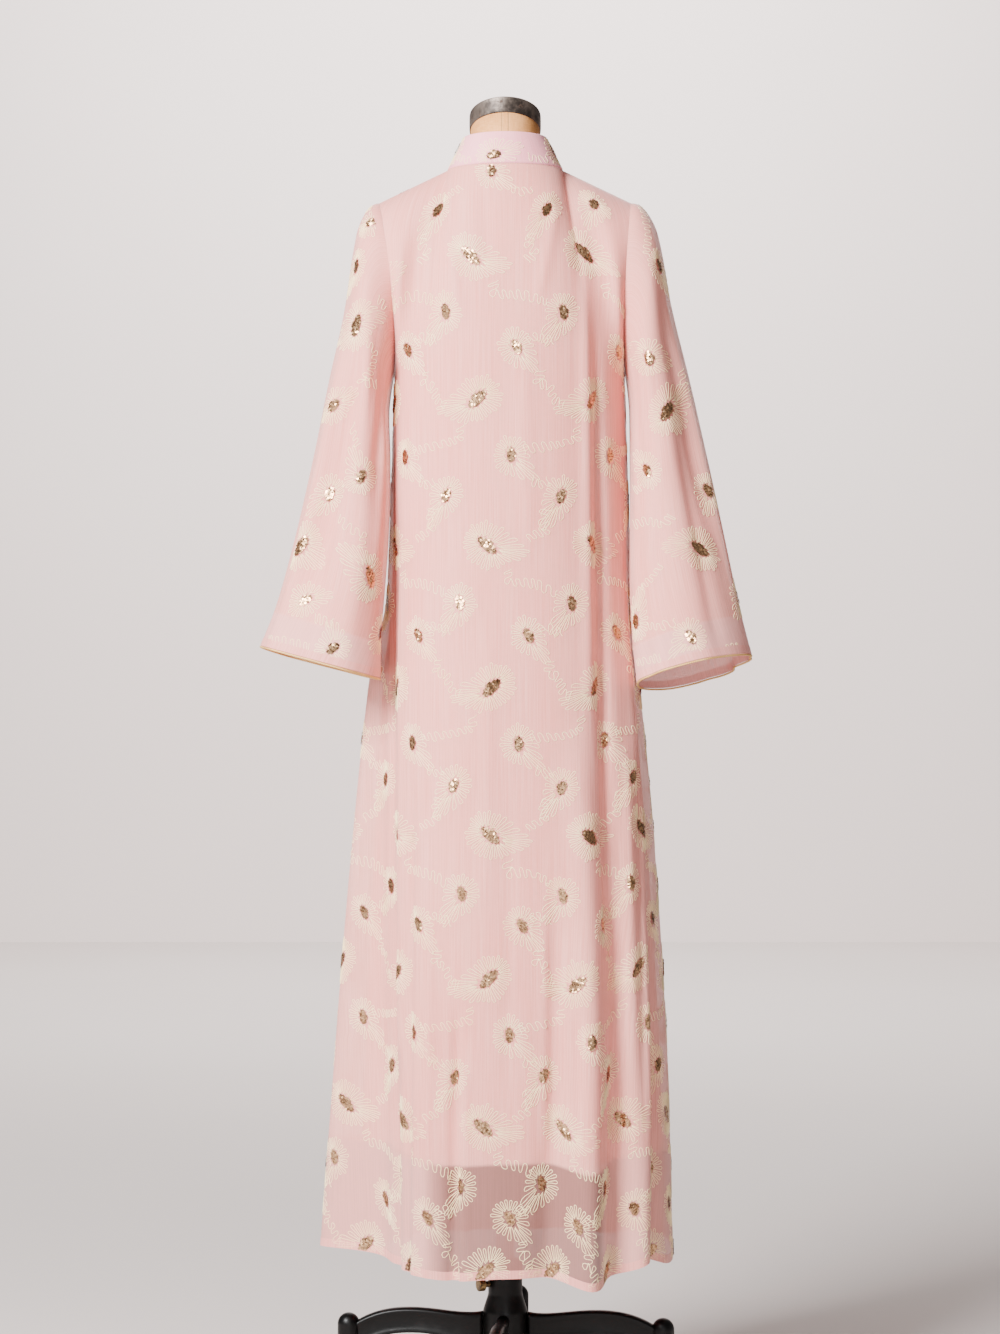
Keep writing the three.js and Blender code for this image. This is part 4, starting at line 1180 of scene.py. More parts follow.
def embroider(name, cloth, start, slot, bare=0.0, first_row=-1, columns=None, hang=None,
              flowers=(), vines=()):
    """Covers a panel with the repeat. start is where its first large flower lies, across and down."""
    rng = np.random.default_rng(SEED)
    if columns is None:
        low = math.floor((cloth.across.min() - start[0]) / REPEAT["across"]) - 1
        high = math.ceil((cloth.across.max() - start[0]) / REPEAT["across"]) + 1
        columns = range(low, high + 1)
    rows = range(first_row, math.ceil((cloth.down[-1] - start[1]) / REPEAT["down"]) + 1)
    bunches = list(flowers)
    paths = [np.array(path, float) for path in vines]
    for i in columns:
        for j in rows:
            corner = np.array([start[0] + i * REPEAT["across"], start[1] + j * REPEAT["down"]])
            for flower in FLOWERS:
                s, t = hung(corner + [flower["s"], flower["t"]], start, hang)
                bunches.append(dict(flower, s=s, t=t))
            paths += [hung(corner + path, start, hang) for path in VINES]
    lines, spots, tilts, frames = [], [], [], []
    for path in paths:
        middle = path.mean(axis=0)
        local = cloth.local(*middle)
        line = vine_lines((path - middle) @ np.linalg.inv(local), rng)
        lines.append((line @ local + middle, local))
    for flower in bunches:
        middle = np.array([flower["s"], flower["t"]], float)
        if not cloth.holds(middle[:1], middle[1:], -FLOWER_FORM["outside"])[0]:
            continue
        local = cloth.local(*middle)
        lines.append((flower_lines(flower, rng) @ local + middle, local))
        spots.append(flower_sequins(flower) @ local + middle)
        tilts.append(np.tile(rng.normal(0, SEQUIN["leaf_tilt"], 2), (len(spots[-1]), 1)))
        frames.append(np.tile(local, (len(spots[-1]), 1, 1)))
    points, faces = thread_strips(lines)
    faces = faces[:, ::-1] if cloth.facing * cloth.flip > 0 else faces
    kept = cloth.holds(points[:, 0], points[:, 1], EDGE_MARGIN["thread"] + bare)
    faces = faces[kept[faces].all(axis=1)]
    used, packed = np.unique(faces, return_inverse=True)
    placed = cloth.place(points[used, 0], points[used, 1], points[used, 2])
    stitches = mesh_of(name + "_thread", placed, packed.reshape(-1, 4), thread_finish)
    dress(stitches, slot)
    places = np.concatenate(spots)
    kept = cloth.holds(places[:, 0], places[:, 1], EDGE_MARGIN["sequin"] + bare)
    tilts = np.concatenate(tilts)[kept]
    frames = np.concatenate(frames)[kept]
    return stitches, sew_sequins(name + "_sequins", cloth, places[kept], tilts, frames, rng, slot)


def sew_sequins(name, cloth, places, tilts, frames, rng, slot):
    sides = SEQUIN["sides"]
    turn = np.arange(sides) / sides * 2 * np.pi
    ring = np.stack([np.cos(turn), np.sin(turn)], axis=1) * SEQUIN["radius"]
    count = len(places)
    tilt = tilts + rng.normal(0, SEQUIN["own_tilt"], (count, 2))
    lift = SEQUIN["lift"] + tilt @ ring.T + rng.uniform(0, SEQUIN["lift_spread"], (count, 1))
    points = places[:, None, :] + ring[None] @ frames
    lift = np.maximum(lift, SEQUIN["lowest"]).ravel()
    placed = cloth.place(points[..., 0].ravel(), points[..., 1].ravel(), lift)
    faces = np.arange(count * sides).reshape(count, sides)
    faces = faces[:, ::-1] if cloth.facing * cloth.flip > 0 else faces
    uv = np.repeat(rng.uniform(0, 1, (count, 2)), sides, axis=0)
    return dress(mesh_of(name, placed, faces, sequin_finish, uv, is_smooth=False), slot)


def band(name, cloth, size, material, slot):
    """A doubled edge along the bottom of a panel, just proud of it."""
    t = np.linspace(cloth.down[-1] - size["width"], cloth.down[-1], BAND_ROWS)
    row = np.interp(t, cloth.down, np.arange(len(cloth.down)))
    low = np.floor(row).astype(int).clip(0, len(cloth.down) - 2)
    share = (row - low)[:, None, None]
    points = lerp(cloth.points[low], cloth.points[low + 1], share)
    normals = unit(lerp(cloth.normals[low], cloth.normals[low + 1], share))
    outer = points + normals * size["lift"]
    inner = points + normals * BAND_UNDERSIDE
    s = lerp(cloth.across[low], cloth.across[low + 1], share[..., 0])
    uv = np.stack([s, np.broadcast_to(t[:, None], s.shape)], axis=-1) * MM
    return dress(shell(name, outer, inner, cloth.facing, material, uv), slot)


# Body
def slit_share(z):
    """How far the slit stands open at a height: 0 at its foot and 1 at the neck."""
    return smooth((z - SLIT["bottom"]) / (NECK["height"] - NECK["drop"] - SLIT["bottom"]))


def open_slit(points):
    """Eases the cloth beside the slit apart, so that the opening doesn't crowd one column."""
    last = points.shape[1] - 1
    from_centre = np.abs(np.arange(last + 1) / last - 0.5)
    side = np.sign(np.arange(last + 1) / last - 0.5)
    opened = SLIT["half_width"] * slit_share(points[..., 2])
    result = points.copy()
    result[..., 0] += side * opened * (1 - smooth(from_centre / SLIT["reach"]))
    return result


def front_half(points, side):
    """The left or right half of the front, opened along its slit and seam."""
    middle = (points.shape[1] - 1) // 2
    half = points[:, :middle + 1] if side < 0 else points[:, middle:]
    half = half.copy()
    edge = -1 if side < 0 else 0
    opened = SLIT["half_width"] * slit_share(half[:, edge, 2])
    half[:, edge, 0] += side * (opened + SLIT["seam_half_width"])
    return half


back_points = crease(panel_grid("back", FINE["body"], FINE["yoke"], FINE["skirt"]), -1, BACK_CREASES)
front_points = crease(panel_grid("front", FINE["body"], FINE["yoke"], FINE["skirt"]), 1, FRONT_CREASES)
front_points = open_slit(front_points)
back = Cloth(back_points, -1)
half_columns = FINE["body"] // 2
front_left = Cloth(front_half(front_points, -1), 1, middle=half_columns)
front_right = Cloth(front_half(front_points, 1), 1, middle=0)

body = {"back": back, "front_left": front_left, "front_right": front_right}
skirt_length = UNDERARM - HEM_HEIGHT
lining_share = (skirt_length - LINING_ABOVE_HEM) / skirt_length
lined_rows = (FINE["yoke"] + FINE["skirt"] * lining_share) / (FINE["yoke"] + FINE["skirt"])
pieces = {}
for name, cloth in body.items():
    # Painted shade below the lining: the back takes the deep tone in its middle and the doubled one at its
    # sides, the fronts take the doubled one
    bare, doubled = (BARE_SKIRT_PAINTED_SHADE, DOUBLED_SKIRT_PAINTED_SHADE) if name == "back" else (DOUBLED_SKIRT_PAINTED_SHADE, None)
    piece = outer_cloth(name + "_cloth", cloth, lined_rows, bare, doubled)
    pieces[name] = dress(piece, "chiffon", name)


# Lining of the body
def lining_depth(rows, columns, yoke_rows, skirt_count):
    """How far the lining lies inside the cloth: close at the seams and looser between and below them."""
    r = np.arange(rows)[:, None]
    c = np.arange(columns)[None, :] / (columns - 1)
    from_seam = np.minimum(c, 1 - c) / EASE["seam_share"]
    from_top = np.minimum(r / yoke_rows / EASE["top_share"], 1)
    depth = WALL_IN_SOURCE + LINING_GAP + EASE["skirt"] * smooth(2 * (r - yoke_rows) / skirt_count)
    return depth + EASE["yoke"] * from_top * smooth(from_seam)


for panel, facing, creases in (("back", -1, BACK_CREASES), ("front", 1, FRONT_CREASES)):
    grid = panel_grid(panel, COARSE["body"], COARSE["yoke"], COARSE["skirt"], lining_share, LINING_FOLDS)
    grid = crease(grid, facing, creases, LINING_CREASES)
    if panel == "front":
        grid = open_slit(grid)
    depth = lining_depth(*grid.shape[:2], COARSE["yoke"], COARSE["skirt"])
    grid = inset(grid, facing, depth)
    parts = {"back": grid} if panel == "back" else {
        "front_left": front_half(grid, -1), "front_right": front_half(grid, 1)}
    for name, points in parts.items():
        middle = {"back": None, "front_left": points.shape[1] - 1, "front_right": 0}[name]
        cloth = Cloth(points, facing, middle=middle)
        piece = cloth_shell("lining_" + name + "_cloth", cloth, LINING, lining_finish)
        pieces["lining_" + name] = dress(piece, "lining", "lining_" + name)
        edge = band("lining_" + name + "_edge", cloth, LINING_BAND, lining_finish, "lining")
        pieces["lining_edge_" + name] = edge


# Sleeves
def cord_along(name, edge, above, normals, material):
    """Twisted strands round a cuff."""
    down = unit(edge - above)
    centre = edge - normals * WALL_IN_SOURCE / 2 + down * (CORD["radius"] + LINING_GAP)
    centre = spread(np.concatenate([centre, centre[:1]]), CORD["samples"])[:-1]
    ahead = unit(np.roll(centre, -1, axis=0) - np.roll(centre, 1, axis=0))
    up = unit(np.cross(ahead, np.array(ASKEW)))
    out = np.cross(up, ahead)
    count = len(centre)
    strands, faces = [], []
    sides = CORD["sides"]
    for k in range(CORD["strands"]):
        phase = 2 * np.pi * (np.arange(count) * CORD["twists"] / count + k / CORD["strands"])
        middle = centre + (up * np.cos(phase)[:, None] + out * np.sin(phase)[:, None]) * CORD["strand_out"]
        for j in range(sides):
            a = 2 * np.pi * j / sides
            strands.append(middle + (up * math.cos(a) + out * math.sin(a)) * CORD["strand_radius"])
        base = k * sides * count
        i = np.arange(count)
        for j in range(sides):
            a = base + j * count
            b = base + (j + 1) % sides * count
            faces.append(np.stack([a + i, a + (i + 1) % count, b + (i + 1) % count, b + i], axis=1))
    return mesh_of(name, np.concatenate(strands), np.concatenate(faces), material)


sleeve_cloths = {}
for name, sleeve in (("left", LEFT_SLEEVE), ("right", RIGHT_SLEEVE)):
    facing = sleeve["side"]
    grid = sleeve_grid(sleeve, FINE["sleeve_around"], FINE["sleeve_down"])
    cloth = Cloth(grid, facing, closed=True, middle=FINE["sleeve_around"] // 2, flip=-facing)
    sleeve_cloths[name] = cloth
    end = 1 - LINING_ABOVE_CUFF / SLEEVE_LENGTH
    # Below its lining the sleeve takes a light painted shade
    piece = outer_cloth("sleeve_" + name + "_cloth", cloth, end, BARE_CUFF_PAINTED_SHADE)
    pieces["sleeve_" + name] = dress(piece, "chiffon", "sleeve_" + name)
    pieces["cuff_band_" + name] = band("cuff_band_" + name, cloth, HEM_BAND, band_cloth, "chiffon")
    points = sleeve_grid(sleeve, COARSE["sleeve_around"], COARSE["sleeve_down"], end, LINING_CREASES)
    rise = smooth(np.arange(len(points)) / COARSE["sleeve_down"] / EASE["sleeve_share"])[:, None]
    points = inset(points, facing, WALL_IN_SOURCE + LINING_GAP + EASE["yoke"] * rise, True)
    lining = Cloth(points, facing, closed=True, middle=COARSE["sleeve_around"] // 2)
    piece = cloth_shell("lining_sleeve_" + name + "_cloth", lining, LINING, lining_finish)
    pieces["lining_sleeve_" + name] = dress(piece, "lining", "lining_sleeve_" + name)
    edge, above, normals = grid[-1, :-1], grid[-2, :-1], cloth.normals[-1, :-1]
    cord = cord_along("cuff_cord_" + name, edge, above, normals, braid_finish)
    pieces["cord_" + name] = dress(cord, "gold_cord", "cuff_piping_" + name)

for name, cloth in body.items():
    pieces["hem_" + name] = band("hem_band_" + name, cloth, HEM_BAND, band_cloth, "chiffon")

# At the top of the back the cut leaves other flowers of the repeat
NAPE_FLOWERS = table("kind s t lean tail", [
    (SMALL, -19, 13, 88, (14, 12)),
    (SMALL, -104, 80, -66, (-10, 20)),
    (SMALL, 56, 74, -66, (-14, 22)),
    (SMALL, 138, 62, -60, (-8, 18)),
])
NAPE_VINES = [[(6, 40), (22, 46), (38, 42)], [(38, 104), (30, 120), (40, 134), (27, 142)],
              [(-118, 108), (-124, 124), (-112, 138), (-126, 148)], [(-60, 40), (-78, 52), (-90, 62)]]
starts = {"back": (-28, 138), "front_left": (-30, 190), "front_right": (-30, 190)}
nape = {"first_row": 0, "hang": BACK_HANG, "flowers": NAPE_FLOWERS, "vines": NAPE_VINES}
for name, cloth in body.items():
    cut = nape if name == "back" else {}
    made = embroider(name, cloth, starts[name], "chiffon", **cut)
    pieces["thread_" + name], pieces["sequins_" + name] = made


# Flowers of the sleeves, across from the shoulder line and down: the back half, then similar ones in front
LEFT_FLOWERS = table("kind s t lean tail", [
    (SMALL, 6, 2, -30, (14, -4)),
    (SMALL, 57, 15, -60, (12, -10)),
    (SMALL, 63, 78, 85, (-8, 14)),
    (LARGE, 94, 132, -75, (18, -12)),
    (SMALL, 62, 273, -60, (16, -12)),
    (SMALL, 147, 304, -72, (-10, -20)),
    (SMALL, 83, 384, -80, (-8, 12)),
    (LARGE, 58, 480, -70, (14, 8)),
    (LARGE, 177, 467, 65, (-30, -14)),
    (SMALL, 89, 549, -50, (20, -8)),
    (SMALL, 156, 604, -65, (-8, -14)),
    (SMALL, 226, 560, -80, (-8, 10)),
])
LEFT_VINES = [
    [(140, 110), (195, 70), (170, 120), (125, 180), (205, 105)],
    [(110, 258), (134, 270)],
    [(110, 405), (136, 407), (160, 392), (158, 424)],
    [(112, 570), (144, 570)],
    [(55, 615), (88, 612), (126, 612)],
    [(160, 26), (184, 10)],
]
RIGHT_FLOWERS = table("kind s t lean tail", [
    (SMALL, -63, 81, 65, (8, 16)),
    (SMALL, -157, 119, 80, (-10, -12)),
    (LARGE, -112, 242, -50, (20, -20)),
    (SMALL, -178, 267, 55, (-18, -14)),
    (SMALL, -48, 407, 70, (-6, 14)),
    (LARGE, -92, 474, 38, (-24, -8)),
    (SMALL, -30, 565, 70, (-10, 10)),
    (SMALL, -141, 610, 85, (-20, 10)),
    (SMALL, -213, 545, -80, (10, -20)),
])
RIGHT_VINES = [
    [(-217, 323), (-180, 348), (-146, 392), (-128, 392)],
    [(-198, 481), (-174, 474), (-154, 459)],
    [(-48, 233), (-47, 257)],
    [(-195, 565), (-172, 578), (-150, 578)],
    [(-66, 636), (-94, 636)],
    [(-237, 618), (-187, 627)],
    [(-8, 4), (-22, 18), (-70, 34), (-97, 34)],
    [(-221, 255), (-198, 274)],
]


# Flowers nearer than this to the shoulder line aren't repeated in front
NEAR_SHOULDER = 40
# A strip without motifs along the armhole, the seam and the cuff
SLEEVE_BARE = 8


def in_front(flowers, vines, shift):
    """The same motifs again on the hidden half, mirrored and moved along."""
    mirrored = []
    for flower in flowers:
        if abs(flower["s"]) > NEAR_SHOULDER:
            tail = (-flower["tail"][0], flower["tail"][1])
            place = {"s": -flower["s"], "t": flower["t"] + shift}
            mirrored.append(dict(flower, **place, lean=-flower["lean"], tail=tail))
    return mirrored, [[(-s, t + shift) for s, t in path] for path in vines]


sleeve_motifs = {"left": (LEFT_FLOWERS, LEFT_VINES, 38), "right": (RIGHT_FLOWERS, RIGHT_VINES, -34)}
for name, cloth in sleeve_cloths.items():
    flowers, vines, shift = sleeve_motifs[name]
    more_flowers, more_vines = in_front(flowers, vines, shift)
    made = embroider("sleeve_" + name, cloth, (0, 0), "chiffon", bare=SLEEVE_BARE, columns=(),
                     flowers=flowers + more_flowers, vines=vines + more_vines)
    pieces["thread_sleeve_" + name], pieces["sequins_sleeve_" + name] = made


# Collar
def make_collar():
    """A doubled band, round at its top edge, which opens at the centre front."""
    columns = FINE["collar"]
    rows = FINE["collar_rows"]
    grid = []
    for r in range(rows + 1):
        up = 1 - r / rows
        gap = lerp(COLLAR_OPENING["bottom"], COLLAR_OPENING["top"], up)
        bearing = np.linspace(90 + gap, 450 - gap, columns + 1)
        grid.append(lerp(ring_point(NECK, bearing), ring_point(COLLAR_TOP, bearing), up))
    points = np.stack(grid)
    cloth = Cloth(points, -1, middle=columns // 2)
    normals = unit(np.cross(np.gradient(points, axis=1), np.gradient(points, axis=0)) * -1)
    half = COLLAR_WALL / 2
    up = unit(points[0] - points[1])
    top_edge = points[0] - up * half
    outer = [points[r] for r in range(rows, 0, -1)]
    outer[0] = points[rows] + unit(points[rows - 1] - points[rows]) * LINING_GAP
    rim = []
    for angle in np.linspace(0, np.pi, COLLAR_RIM_STEPS):
        rim.append(top_edge - normals[0] * half * (1 - math.cos(angle)) + up * half * math.sin(angle))
    inner = [points[r] - normals[r] * COLLAR_WALL for r in range(1, rows + 1)]
    inner[-1] = outer[0] - normals[rows] * COLLAR_WALL
    loop = np.stack(outer + rim + inner)
    count = len(loop)
    s = np.broadcast_to(cloth.across[0][None, :], loop.shape[:2])
    t = np.broadcast_to((np.arange(count) * COLLAR_ROW)[:, None], loop.shape[:2])
    wide = columns + 1
    faces = []
    for r in range(count):
        after = (r + 1) % count
        for c in range(columns):
            faces.append((r * wide + c, r * wide + c + 1, after * wide + c + 1, after * wide + c))
    faces.append([r * wide for r in range(count)])
    faces.append([r * wide + columns for r in range(count)][::-1])
    uv = np.stack([s, t], axis=-1).reshape(-1, 2) * MM
    piece = mesh_of("collar_cloth", loop.reshape(-1, 3), faces, collar_finish, uv)
    return dress(piece, "collar", "collar"), cloth


pieces["collar"], collar = make_collar()
COLLAR_FLOWERS = table("kind s t lean tail", [
    (SMALL, -15, 33, -14, (16, -6)),
    (SMALL, 86, 20, 70, (10, 14)),
    (SMALL, -92, 16, -60, (-8, 16)),
])
COLLAR_VINES = [[(30, 34), (48, 40), (64, 34)], [(-46, 40), (-62, 36), (-76, 30)]]
made = embroider("collar", collar, (0, 0), "collar", columns=(), flowers=COLLAR_FLOWERS, vines=COLLAR_VINES)
pieces["thread_collar"], pieces["sequins_collar"] = made


# Dress form
def ridge_height(x):
    """The form's shoulder ridge, which stays below the cloth and its lining."""
    slope = (NECK["height"] - SHOULDER["height"]) / (SHOULDER["side"] - NECK["side"])
    return NECK["height"] - slope * (x - NECK["side"]) - FORM_BELOW_CLOTH * math.hypot(1, slope)


def oval_ring(section, z, tilt=0.0, count=96):
    turn = np.linspace(0, 2 * np.pi, count, endpoint=False)
    power = 2 / section["square"]
    s = signed_power(np.sin(turn), power)
    y = np.where(s > 0, section["front"], section["back"]) * s
    return np.stack([section["side"] * signed_power(np.cos(turn), power), y, z - y * tilt], axis=1)


def make_form():
    rings = [oval_ring(section, section["z"]) for section in FORM_SECTIONS]
    for k in range(FORM_SHOULDER["steps"] + 1):
        share = k / FORM_SHOULDER["steps"]
        side = lerp(FORM_SHOULDER["outer"], FORM_SHOULDER["inner"], share)
        depth = lerp(FORM_SHOULDER["outer_depth"], FORM_SHOULDER["inner_depth"], share)
        section = {"side": side, "back": depth, "front": depth, "square": FORM_SHOULDER["square"]}
        rings.append(oval_ring(section, ridge_height(side)))
    slope = math.tan(math.radians(FORM_NECK["slant"]))
    neck = dict(FORM_NECK, square=2)
    under = NECK_CAP["thickness"] / math.cos(math.radians(FORM_NECK["slant"]))
    middle = FORM_NECK["top"]
    rings.append(oval_ring(dict(neck, side=neck["side"] + neck["foot_spread"]), neck["foot"]))
    waist = lerp(neck["foot"], middle - under, neck["middle_share"])
    rings.append(oval_ring(neck, waist, slope * neck["middle_slant"]))
    rings.append(oval_ring(neck, middle - under, slope))
    dress(loft("form_linen", rings, linen_finish), "linen", "form")
    bottom = middle - under + NECK_CAP["gap"] / math.cos(math.radians(FORM_NECK["slant"]))
    cap_rings = []
    grown, inset_by = NECK_CAP["overhang"], NECK_CAP["inset"]
    profile = softened([(-inset_by, 0), (grown, 0), (grown, 1), (-inset_by, 1)], NECK_CAP["bevel"])
    for by, up in profile:
        section = {key: neck[key] + by for key in ("side", "back", "front")}
        section["square"] = 2
        cap_rings.append(oval_ring(section, lerp(bottom, middle, up), slope))
    dress(loft("neck_cap_metal", cap_rings, zinc_finish), "worn_zinc", "neck_cap")


make_form()


# Stand
def place_rings(rings, move=(0, 0, 0), turn=0.0):
    """Rings moved, then turned about the pole."""
    c, s = math.cos(turn), math.sin(turn)
    spin = np.array([[c, -s, 0], [s, c, 0], [0, 0, 1]])
    return [(np.asarray(ring) + np.array(move)) @ spin.T for ring in rings]


def make_pole():
    low, high, radius = POLE["bottom"], POLE["top"], POLE["radius"]
    profile = softened([(0, low), (radius, low), (radius, high), (0, high)], POLE["edge"])
    dress(loft("pole_tube", turned(profile, SIDES["pole"]), steel_finish), "steel", "pole")


def make_hub():
    profile = softened([
        (HUB["bore"], HUB["bottom"]), (HUB["foot"], HUB["bottom"]), (HUB["foot"], HUB["flare_bottom"]),
        (HUB["radius"], HUB["flare_top"]), (HUB["radius"], HUB["top"]), (HUB["bore"], HUB["top"]),
    ], HUB["edge"])
    rings = turned(profile, SIDES["hub"])
    piece = loft("hub_casting", rings + [rings[0]], iron_finish, caps=(False, False))
    dress(piece, "black_iron", "hub")


make_pole()
make_hub()

# A leg's section from its crown to its underside, on one side: shares of half its width and of its height
LEG_OUTLINE = [
    (0.5, 1.0), (0.72, 0.97), (0.97, 0.93), (1.0, 0.86), (0.86, 0.78), (0.74, 0.68),
    (0.7, 0.5), (0.74, 0.3), (0.86, 0.18), (1.0, 0.1), (0.97, 0.03), (0.6, 0.0),
]
# Control points of two curves end to end, along the leg's crown and underside: distance out and height
LEG_TOP = [(30.3, 166), (52, 160), (82, 169), (118, 169.5), (150, 170), (185, 164), (213, 142)]
LEG_UNDER = [(30.3, 104), (60, 124), (90, 136), (130, 136), (160, 136), (188, 130), (213, 104)]


def leg_line(points, count):
    """Two Bezier curves end to end."""
    t = np.linspace(0, 1, count)[:, None]
    points = np.array(points, float)
    return np.concatenate([bezier(t, *points[:4]), bezier(t, *points[3:])[1:]])


def make_leg(name, bearing):
    top = leg_line(LEG_TOP, SIDES["leg_steps"])
    under = leg_line(LEG_UNDER, SIDES["leg_steps"])
    half = LEG["width"] / 2
    rings = []
    for upper, lower in zip(top, under):
        tall = upper[1] - lower[1]
        side = [(w * half, lower[1] + h * tall) for w, h in LEG_OUTLINE]
        ring = [(0, lower[1] + tall * LEG["crown"])] + side + [(0, lower[1])]
        ring += [(-w, h) for w, h in reversed(side)]
        x = lerp(upper[0], lower[0], 0.5)
        rings.append([(x, y, z) for y, z in ring])
    turn = math.radians(bearing)
    arm = loft("arm", place_rings(rings, turn=turn), iron_finish)
    r = LEG["barrel"]
    profile = [(0, LEG["bottom"]), (r, LEG["bottom"]), (r, LEG["top"] - r)]
    angles = np.linspace(LEG["dome_from"], np.pi / 2, LEG["dome_steps"])
    dome = [(r * math.cos(a), LEG["top"] - r + r * math.sin(a)) for a in angles]
    barrel_rings = turned(softened(profile + [dome[0]], LEG["edge"])[:-1] + dome, SIDES["barrel"])
    barrel = loft("barrel", place_rings(barrel_rings, (LEG["reach"], 0, 0), turn), iron_finish)
    bpy.ops.object.select_all(action="DESELECT")
    for piece in (arm, barrel):
        piece.select_set(True)
    bpy.context.view_layer.objects.active = arm
    bpy.ops.object.join()
    arm.name = "leg_" + name + "_casting"
    dress(arm, "black_iron", "leg_" + name)
    wide, neck, pad = FOOT["radius"], FOOT["neck"], FOOT["pad"]
    bevel, shoulder = FOOT["bevel"], FOOT["shoulder"]
    glide = softened([
        (0, 0), (wide - bevel, 0), (wide, bevel), (wide, pad - shoulder), (wide - shoulder, pad),
        (neck, pad + bevel), (neck, FOOT["top"]), (0, FOOT["top"]),
    ], FOOT["edge"])
    foot_rings = place_rings(turned(glide, SIDES["foot"]), (LEG["reach"], 0, 0), turn)
    dress(loft("foot_" + name + "_glide", foot_rings, iron_finish), "black_iron", "foot_" + name)


for i, name in enumerate(("right", "front", "left", "back")):
    make_leg(name, i * 90 + LEG["turn"])


def make_thumb_screw():
    """A knurled head on a plain shank, lying level beside the hub."""
    start = HUB["radius"] + THUMB_SCREW["gap"]
    neck_end = start + THUMB_SCREW["shank_length"]
    head_end = neck_end + THUMB_SCREW["head_length"]
    thin = THUMB_SCREW["shank"]
    head = THUMB_SCREW["head"]
    profile = softened([
        (0, start), (thin, start), (thin, neck_end), (head, neck_end), (head, head_end), (0, head_end),
    ], THUMB_SCREW["edge"])
    rings = []
    for ring in turned(profile, SIDES["screw"]):
        radius = np.linalg.norm(ring[0, :2])
        turn = np.arctan2(ring[:, 1], ring[:, 0])
        if radius > thin + THUMB_SCREW["ribs_from"]:
            ring[:, :2] *= (1 + THUMB_SCREW["rib_depth"] * np.cos(turn * THUMB_SCREW["ribs"]))[:, None]
        rings.append(np.stack([ring[:, 2], ring[:, 1], -ring[:, 0]], axis=1))
    turn = math.radians(THUMB_SCREW["bearing"])
    rings = place_rings(place_rings(rings, turn=turn), (0, 0, THUMB_SCREW["height"]))
    dress(loft("thumb_screw_brass", rings, brass_finish), "brass", "thumb_screw")


make_thumb_screw()


# Cut of each cloth: width and length, then area, in metres
CUTS = {
    "back": {"flat": (0.79, 1.48), "area": 0.841, "on": ("lining_back", "form")},
    "front_left": {"flat": (0.37, 1.44), "area": 0.382, "on": ("lining_front_left", "form")},
    "front_right": {"flat": (0.37, 1.44), "area": 0.381, "on": ("lining_front_right", "form")},
    "sleeve_left": {"flat": (0.63, 0.63), "area": 0.218, "on": ("lining_sleeve_left",)},
    "sleeve_right": {"flat": (0.63, 0.65), "area": 0.225, "on": ("lining_sleeve_right",)},
    "collar": {"flat": (0.47, 0.045), "area": 0.0196, "on": ("back",)},
    "lining_back": {"flat": (0.65, 1.33), "area": 0.659, "on": ("form",)},
    "lining_front_left": {"flat": (0.31, 1.30), "area": 0.297, "on": ("form",)},
    "lining_front_right": {"flat": (0.31, 1.30), "area": 0.296, "on": ("form",)},
    "lining_sleeve_left": {"flat": (0.57, 0.57), "area": 0.175, "on": ("lining_back",)},
    "lining_sleeve_right": {"flat": (0.57, 0.58), "area": 0.179, "on": ("lining_back",)},
}
for name, cut in CUTS.items():
    sewn_on = ["thread_" + name, "sequins_" + name, "hem_" + name]
    if name.startswith("sleeve"):
        side = name.split("_")[1]
        sewn_on += ["cuff_band_" + side, "cord_" + side]
    if name.startswith("lining"):
        sewn_on.append(name.replace("lining", "lining_edge"))
    with_pieces = [pieces[sewn] for sewn in sewn_on if sewn in pieces]


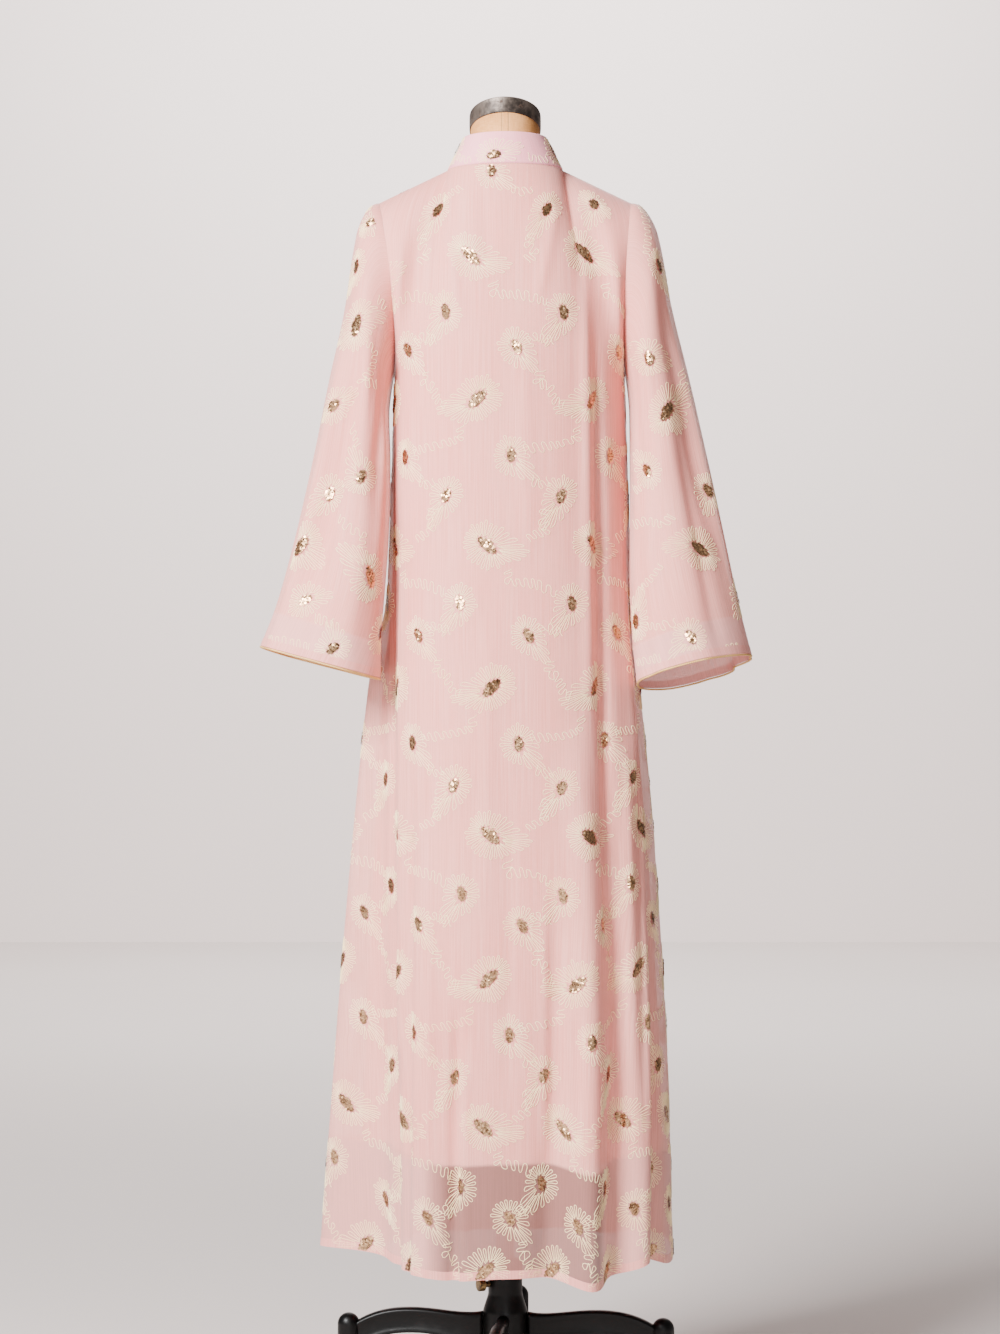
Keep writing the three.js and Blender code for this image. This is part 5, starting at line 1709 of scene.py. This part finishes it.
# Room in millimetres, lamps and camera in metres
STAGE = {"floor_reach": 9000, "wall_half": 4500, "wall_away": 7600, "wall_low": -500, "wall_high": 5000}
LAMPS = table("name at aim size power", [
    ("key", (-2.1, -2.75, 2.9), (0, 0, 1.1), 1.3, 610),
    ("front", (0.3, -4.6, 1.2), (0, 0, 0.6), 1.6, 40),
    ("wall", (0, 4.6, 4.8), (0, 7.6, 1.4), 3.0, 520),
])
SKY = {"colour": srgb(250, 240, 236), "strength": 0.27}
CAMERA = {"at": (-0.007, -4.25, 1.036), "lens": 84.95, "sensor": 36}


def make_backdrop(name, corners, roughness, scale, tones):
    paint = Paint("pale_" + name, Roughness=roughness)
    paint.colour(paint.noise(paint.place(), scale, 2.0), *tones)
    mesh_of(name, corners, [(0, 1, 2, 3)], paint.material)


def make_backdrops():
    reach = STAGE["floor_reach"]
    corners = [(-reach, -reach, 0), (reach, -reach, 0), (reach, reach, 0), (-reach, reach, 0)]
    make_backdrop("floor", corners, 0.9, 0.6, ((206, 196, 192), (216, 206, 202)))
    half, away, low, high = STAGE["wall_half"], STAGE["wall_away"], STAGE["wall_low"], STAGE["wall_high"]
    corners = [(-half, away, low), (half, away, low), (half, away, high), (-half, away, high)]
    make_backdrop("wall", corners, 0.95, 0.5, ((232, 218, 214), (240, 228, 224)))


def make_lights():
    world = bpy.data.worlds.new("studio")
    bpy.context.scene.world = world
    world.use_nodes = True
    background = world.node_tree.nodes["Background"]
    background.inputs["Color"].default_value = SKY["colour"]
    background.inputs["Strength"].default_value = SKY["strength"]
    for lamp in LAMPS:
        light = bpy.data.lights.new(lamp["name"], "AREA")
        light.energy = lamp["power"]
        light.size = lamp["size"]
        holder = bpy.data.objects.new(lamp["name"], light)
        bpy.context.scene.collection.objects.link(holder)
        holder.location = lamp["at"]
        towards = Vector(lamp["aim"]) - Vector(lamp["at"])
        holder.rotation_euler = towards.to_track_quat("-Z", "Y").to_euler()


def make_camera():
    data = bpy.data.cameras.new("camera")
    data.sensor_fit = "VERTICAL"
    data.sensor_height = CAMERA["sensor"]
    data.lens = CAMERA["lens"]
    camera = bpy.data.objects.new("camera", data)
    bpy.context.scene.collection.objects.link(camera)
    camera.location = CAMERA["at"]
    camera.rotation_euler = (math.pi / 2, 0, 0)
    bpy.context.scene.camera = camera


make_backdrops()
make_lights()
make_camera()
